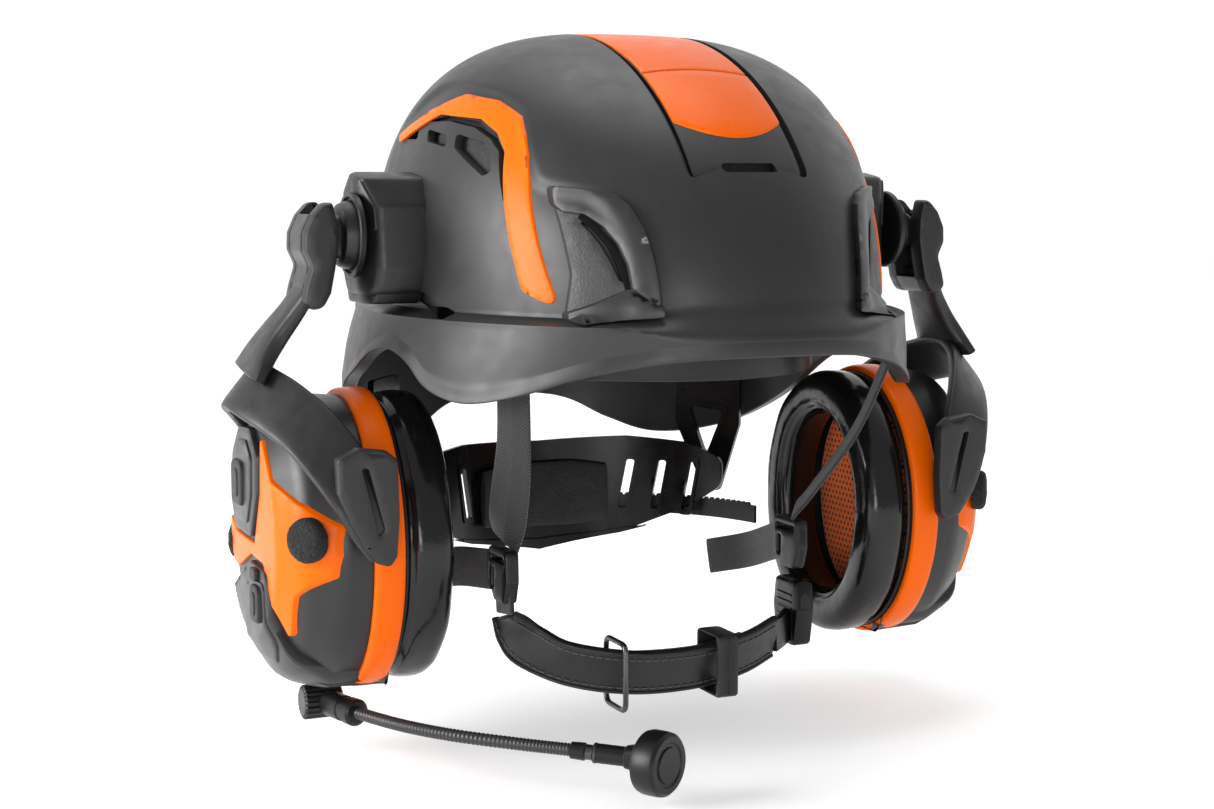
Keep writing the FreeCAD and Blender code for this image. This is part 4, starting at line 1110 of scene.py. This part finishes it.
def make_straps():
    front = [strip([(-80, -82, 24), (-76, -72, -6), (-72.5, -57, -31), (-70, -47, -45)],
                   [(0.4, -0.9, 0), (0.45, -0.88, 0), (0.62, -0.76, 0), (0.2, -0.97, 0)], 16, 1.7, steps=14),
             strip([(80, -82, 24), (74, -68, -6), (66, -49, -32), (62, -40, -43)], (0.4, 0.9, 0), 16, 1.7,
                   steps=14)]
    build("front_webbing", joined(*front), WEBBING, ["front_straps"])
    rear = [strip([(-71.5, -35, -58), (-76, -5, -62), (-77, 30, -72), (-71, 56, -80)], (0, 0.2, 1), 16, 1.7,
                  steps=14),
            strip([(63, -28, -57), (73, 0, -64), (77, 30, -73), (71, 56, -80)], (0, 0.2, 1), 16, 1.7,
                  steps=14)]
    build("rear_webbing", joined(*rear), WEBBING, ["rear_straps"])
    slides = []
    for x, y, z in ((-70, -45, -58), (61, -38, -56)):
        outline = rounded([(y - 9.5, z + 10), (y + 9.5, z + 10), (y + 10, z - 3), (y + 4, z - 11),
                           (y - 7, z - 11),
                           (y - 10, z - 2)], 2.5)
        holes = [box(y - 7.5, z + 4.6, y + 7.5, z + 7, 1), box(y + 3.8, z - 6, y + 6.2, z + 2, 1)]
        for sign in (-1, 1):
            slides.append(plate(outline, facing_x(x, sign), 0, 2.9, 1.0,
                                holes=holes, step=2.5))
    build("strap_slides", joined(*slides), PLASTIC, ["strap_dividers"])


CHIN_PATH = [(-70, -47, -75), (-67, -48.5, -80.5), (-61.5, -52, -86.5), (-48, -60, -93), (-24, -67, -97),
             (2, -69, -97),
             (26, -63, -95), (44, -54, -92)]
CHIN_ACROSS = [(0.1, -0.95, 0.25), (0.35, -0.7, 0.6), (0.5, -0.4, 0.8)] + [(0, -0.3, 1)] * 5


def stitches(path, across, offset, lift, length=2.4):
    """A row of short thread stitches along a strap, `offset` from its middle line."""
    stations = flow([(*point, *direction) for point, direction in zip(path, across)], 40)
    seams, travelled, start = [], 0.0, None
    for before, after in zip(stations, stations[1:]):
        forward = Vector(after[:3]) - Vector(before[:3])
        travelled += forward.length
        side = Vector(after[3:6])
        side = (side - forward * (side.dot(forward) / forward.length_squared)).normalized()
        spot = Vector(after[:3]) + side * offset + forward.cross(side).normalized() * lift
        if start is None:
            start, travelled = spot, 0.0
        elif travelled >= length:
            direction = (spot - start).normalized()
            seams.append(lathe(start, direction,
                               [(0, 0.05), (0.3, 0.3), (length - 0.3, 0.3), (length, 0.05)], 8))
            start = None
    return joined(*seams)


RING_X, KEEPER_X, BUCKLE_X = -31.5, 12.5, 62.2
WIRE_RADIUS = 1.15
STITCH_OFFSET, STITCH_LIFT, CHIN_EDGE = 6.2, 1.75, 8.4


def make_chin_strap():
    tab = strip([(-70, -45.5, -64), (-70, -46.2, -69), (-70, -46.8, -73.2)], (0, 1, 0), 17, 2.2)
    build("chin_tab", tab, WEBBING, body="root")
    leather_strap = strip(CHIN_PATH, CHIN_ACROSS, 18.5, 3.2, power=3.2, steps=12)
    edges = [strip([Vector(point) + Vector(direction).normalized() * side * CHIN_EDGE
                    for point, direction in zip(CHIN_PATH, CHIN_ACROSS)], CHIN_ACROSS, 2.0, 3.9, power=2,
                   steps=12, count=12)
             for side in (-1, 1)]
    build("chin_band", joined(leather_strap, *edges), LEATHER, ["chin_strap"])
    threads = joined(*[stitches(CHIN_PATH, CHIN_ACROSS, side * STITCH_OFFSET, face * STITCH_LIFT)
                       for face in (1, -1) for side in (1, -1)])
    build("chin_stitching", threads, STITCH, body="chin")
    pad = strip([(-41, -58.4, -94), (-24, -63.2, -96.4), (2, -65.0, -96.4), (25, -59.4, -94.4)],
                (0, -0.3, 1), 16.4, 2.8,
                power=2.4, steps=12)
    build("chin_cushion", pad, TEXTILE, ["chin_pad"])
    collar = [plate(box(-76, -109, -56.5, -84, 2.5), facing_x(KEEPER_X, sign), 0, 4.5, 0.8,
                    holes=[box(-73.6, -107.8, -58.0, -84.9, 1.5)], step=2.5) for sign in (1, -1)]
    build("keeper_loop", joined(*collar), RUBBER, ["strap_keeper"])
    wire = rounded([(-75, -110), (-56.5, -110), (-56.5, -84), (-75, -84)], 4, 8)
    rows = []
    for spot in wire:
        out = (spot - Vector((-65.7, -97))).normalized()
        rows.append([Vector((RING_X + WIRE_RADIUS * b, spot.x + out.x * WIRE_RADIUS * a,
                             spot.y + out.y * WIRE_RADIUS * a))
                     for a, b in superoval(2, 12)])
    build("wire_ring", skin(rows, looped=True), STEEL, ["strap_ring"], crease=60)


# ---- suspension ------------------------------------------------------------------------------------------------

CRADLE_Y = 12


def round_place(radius):
    """From a flat drawing (degrees from straight behind x 1, z) to an upright tube round the cradle axis."""
    def place(u, v, height):
        turn = u / radius
        return Vector(((radius + height) * math.sin(turn), CRADLE_Y + (radius + height) * math.cos(turn), v))
    return place


def arc(radius, degrees):
    return math.radians(degrees) * radius


def make_cradle():
    radius = 80.0
    leaf = [(-64, -33), (-50, -27), (-30, -25), (0, -26.5), (30, -25), (50, -27), (64, -33), (64, -46),
            (50, -58),
            (30, -69.5), (0, -77.3), (-30, -69.5), (-50, -58), (-64, -46)]
    outline = rounded([(arc(radius, turn), z) for turn, z in leaf], 6)
    slots, rims = [], []
    for turn in (-52, -41, -30, 30, 41, 52):
        lean = 2.2 if turn > 0 else -2.2
        middle = arc(radius, turn)
        slot = [(middle - 1.9 - lean, -59), (middle + 1.9 - lean, -59), (middle + 1.9 + lean, -36),
                (middle - 1.9 + lean, -36)]
        slots.append(rounded(slot, 1.3))
        frame_outline = [(middle - 3.4 - lean, -61), (middle + 3.4 - lean, -61), (middle + 3.4 + lean, -34),
                         (middle - 3.4 + lean, -34)]
        rims.append(plate(rounded(frame_outline, 2.0), round_place(radius), -0.7, 0.4, 0.4,
                          holes=[slots[-1]], step=2.5))
    leaf_sheet = plate(outline, round_place(radius), 0, 2.4, 0.8, holes=slots)
    lip = plate(rounded([(arc(radius, -40), -66), (arc(radius, -20), -70.5), (0, -72.5),
                         (arc(radius, 20), -70.5),
                         (arc(radius, 40), -66), (arc(radius, 28), -70.6), (0, -77.3),
                         (arc(radius, -28), -70.6)], 1.5),
                round_place(radius), -1.4, 0.5, 0.6)
    build("cradle_leaf", joined(leaf_sheet, lip, *rims), GLOSSY_PLASTIC, ["nape_cradle"],
          crease=28)
    turns = [-23, -12, 0, 12, 23]
    pad = sweep([(77.4 * math.sin(math.radians(turn)), CRADLE_Y + 77.4 * math.cos(math.radians(turn)), -51,
                  0, 0, 1,
                  30 if abs(turn) < 20 else 26, 4.2) for turn in turns], power=2.6, steps=12, count=40)
    build("nape_cushion", pad, TEXTILE, ["nape_pad"])


def make_ratchet():
    for hand, low, start, end in (("right", -39.7, -76, 9), ("left", -61.8, -9, 76)):
        teeth = []
        first, last = arc(84.4, start), arc(84.4, end)
        pitch, tooth = 3.0, 1.1
        count = int((last - first - 4) / pitch)
        inner = low + 0.2 if hand == "right" else low + 9.3
        outer = low + 9.3 if hand == "right" else low + 0.2
        step_in = tooth if hand == "right" else -tooth
        for index in range(count):
            at = first + 2 + index * pitch
            teeth += [(at, inner + step_in), (at + pitch * 0.3, inner), (at + pitch * 0.7, inner),
                      (at + pitch * 0.9, inner + step_in)]
        outline = [(first, outer)] + [(first, inner + step_in)] + teeth + [(last, inner + step_in),
                                                                           (last, outer)]
        build(f"rack_strip_{hand}", plate(outline, round_place(84.5), 0, 1.4, 0.25, step=3.0), PLASTIC,
              [f"rack_band_{hand}"])
    carried(["ratchet_housing"], PLASTIC)
    knob = lathe((0, 104.3, -46), (0, 1, 0),
                 [(-9.0, 0.02), (-9.0, 3.8), (0, 3.8), (0, 14.5), (0.8, 16), (9, 16), (10.4, 15),
                                              (11, 13), (10.4, 9), (10.2, 0.02)], 96,
                 lambda turn, along: 1 + (0.045 * math.cos(turn * 16) if 0.5 < along < 10.2 else 0))
    pinion = lathe((0, 96, -46), (0, 1, 0), [(0, 5.4), (4.2, 5.4)], 72, lambda turn,
                   along: 1 + 0.09 * math.cos(turn * 12))
    build("ratchet_wheel", joined(knob, pinion), RUBBER, ["ratchet_knob"])


def make_height_brackets():
    swing = math.radians(52)

    def bracket_place(u, v, height):
        y = 100 + height
        return Vector((u * math.cos(swing) - y * math.sin(swing),
                       CRADLE_Y + u * math.sin(swing) + y * math.cos(swing), v))

    outline = rounded([(-16, 8), (16, 8), (17, -20), (2, -52), (-6, -52), (-16, -20)], 3)
    window = rounded([(-8, -14), (10, -12), (1, -36)], 2)
    rim = rounded([(-11, -11.4), (13, -9.4), (1, -42)], 2.5)
    plates = [plate(outline, bracket_place, 0, 3, 0.7, holes=[window]),
              plate(rim, bracket_place, -0.8, 0.5, 0.4, holes=[window])]
    build("hanger_plates", both(joined(*plates)), GLOSSY_PLASTIC, ["height_brackets"])


def make_headgear():
    """Head ring with its padded brow band, crossed crown straps, their clips and the impact foam."""
    turns = [206, 222, 240, 255, 270, 285, 300, 318, 334]
    brow = sweep([(69.7 * math.cos(math.radians(turn)), 91.7 * math.sin(math.radians(turn)), 32, 0, 0, 1, 20,
                   4.3)
                  for turn in turns], power=2.6, steps=10, count=36)
    build("brow_band", brow, TEXTILE, ["brow_pad"])
    carried(["headband", "suspension_clips"], PLASTIC)
    carried(["crown_webbing"], TEXTILE, 0.2)
    carried(["impact_liner"], FOAM, 0.8)
    carried(["speaker_right", "speaker_left"], PLASTIC)
    carried(["buckle_tongue"], GLOSSY_PLASTIC, 0.9)
    case = rounded([(-47.5, -71.5), (-30.5, -71.5), (-28.6, -84), (-31.5, -99.4), (-46.5, -99.4),
                    (-49.4, -84)], 3)
    halves = [plate(case, facing_x(BUCKLE_X, sign), 0, 4.4, 1.5, step=2.5)
              for sign in (-1, 1)]
    grips = [sweep([(BUCKLE_X + sign * 4.3, -45, z, 0, 0, 1, 1.2, 1.0),
                    (BUCKLE_X + sign * 4.5, -39, z, 0, 0, 1, 1.2, 1.0),
                    (BUCKLE_X + sign * 4.3, -33, z, 0, 0, 1, 1.2, 1.0)], power=2.5, count=12)
             for sign in (-1, 1) for z in (-78, -81, -84, -87)]
    build("buckle_case", joined(*halves, *grips), GLOSSY_PLASTIC, ["buckle_socket"])


# ---- stage -------------------------------------------------------------------------------------------------

FLOOR_HALF, FLOOR_GAP, FLOOR_GLOW = 4, 0.004, 0.42
BRIGHT_SIDE = (0.38, 0.92, 0.1)
SKY_SPREAD = (-0.1, 0.75, 0.45, 1.05)
SOFTBOXES = [("key_softbox", (-1.3, 0.05, 0.32), 0.8, 20), ("top_softbox", (0.1, 0.3, 1.5), 1.1, 7),
             ("low_softbox", (-0.7, -1.5, 0.0), 0.6, 6)]
CAMERA_SPOT = (-336.4, -742.1, 92.8)
CAMERA_AIM = (0.4041, 0.9077, -0.1132)
CAMERA_LENS = 57.9


def make_stage():
    """Pale floor, soft studio light and a camera in front, on the wearer's right."""
    low = cad_box[0].z - FLOOR_GAP
    mesh = bpy.data.meshes.new("floor")
    corners = [(x * FLOOR_HALF, y * FLOOR_HALF, low) for x, y in ((-1, -1), (1, -1), (1, 1), (-1, 1))]
    mesh.from_pydata(corners, [], [(0, 1, 2, 3)])
    floor = added("floor", mesh)
    paper = Tree("paper")
    paper.feed("Base Color",
               paper.blend(paper.noise(paper.place(), 300), (0.86, 0.86, 0.86), (0.9, 0.9, 0.9)))
    paper.feed("Roughness", 0.9)
    paper.feed("Specular IOR Level", 0.0)
    paper.feed("Emission Color", (1.0, 1.0, 1.0, 1.0))
    paper.feed("Emission Strength", FLOOR_GLOW)
    mesh.materials.append(paper.material)
    world = bpy.data.worlds.new("studio")
    bpy.context.scene.world = world
    world.use_nodes = True
    nodes, links = world.node_tree.nodes, world.node_tree.links
    side = nodes.new("ShaderNodeVectorMath")
    side.operation = "DOT_PRODUCT"
    side.inputs[1].default_value = BRIGHT_SIDE
    spread = nodes.new("ShaderNodeMapRange")
    spread.interpolation_type = "SMOOTHSTEP"
    for name, value in zip(("From Min", "From Max", "To Min", "To Max"), SKY_SPREAD):
        spread.inputs[name].default_value = value
    links.new(nodes.new("ShaderNodeTexCoord").outputs["Generated"], side.inputs[0])
    links.new(side.outputs["Value"], spread.inputs["Value"])
    links.new(spread.outputs["Result"], nodes["Background"].inputs["Strength"])
    nodes["Background"].inputs["Color"].default_value = (1.0, 1.0, 1.0, 1)
    for name, spot, size, power in SOFTBOXES:
        light = bpy.data.lights.new(name, "AREA")
        light.shape = "DISK"
        light.size = size
        light.energy = power
        lamp = added(name, light)
        lamp.location = spot
        lamp.rotation_euler = (-Vector(spot)).to_track_quat("-Z", "Y").to_euler()
    camera = added("camera", bpy.data.cameras.new("camera"))
    camera.data.lens = CAMERA_LENS
    camera.data.clip_start, camera.data.clip_end = 0.05, 20
    camera.location = Vector(CAMERA_SPOT) * MM
    camera.rotation_mode = "QUATERNION"
    camera.rotation_quaternion = Vector(CAMERA_AIM).to_track_quat("-Z", "Y")
    bpy.context.scene.camera = camera
    bpy.context.scene.view_settings.view_transform = "Standard"


make_stage()
make_shell()
make_crown()
make_shell_trim()
make_lamp_clips()
make_ear_mounts()
make_discs()
make_arms()
make_yokes()
make_cup_shells()
make_cup_bands()
make_cushions()
make_ear_foams()
make_faces()
make_boom()
make_straps()
make_chin_strap()
make_cradle()
make_ratchet()
make_height_brackets()
make_headgear()
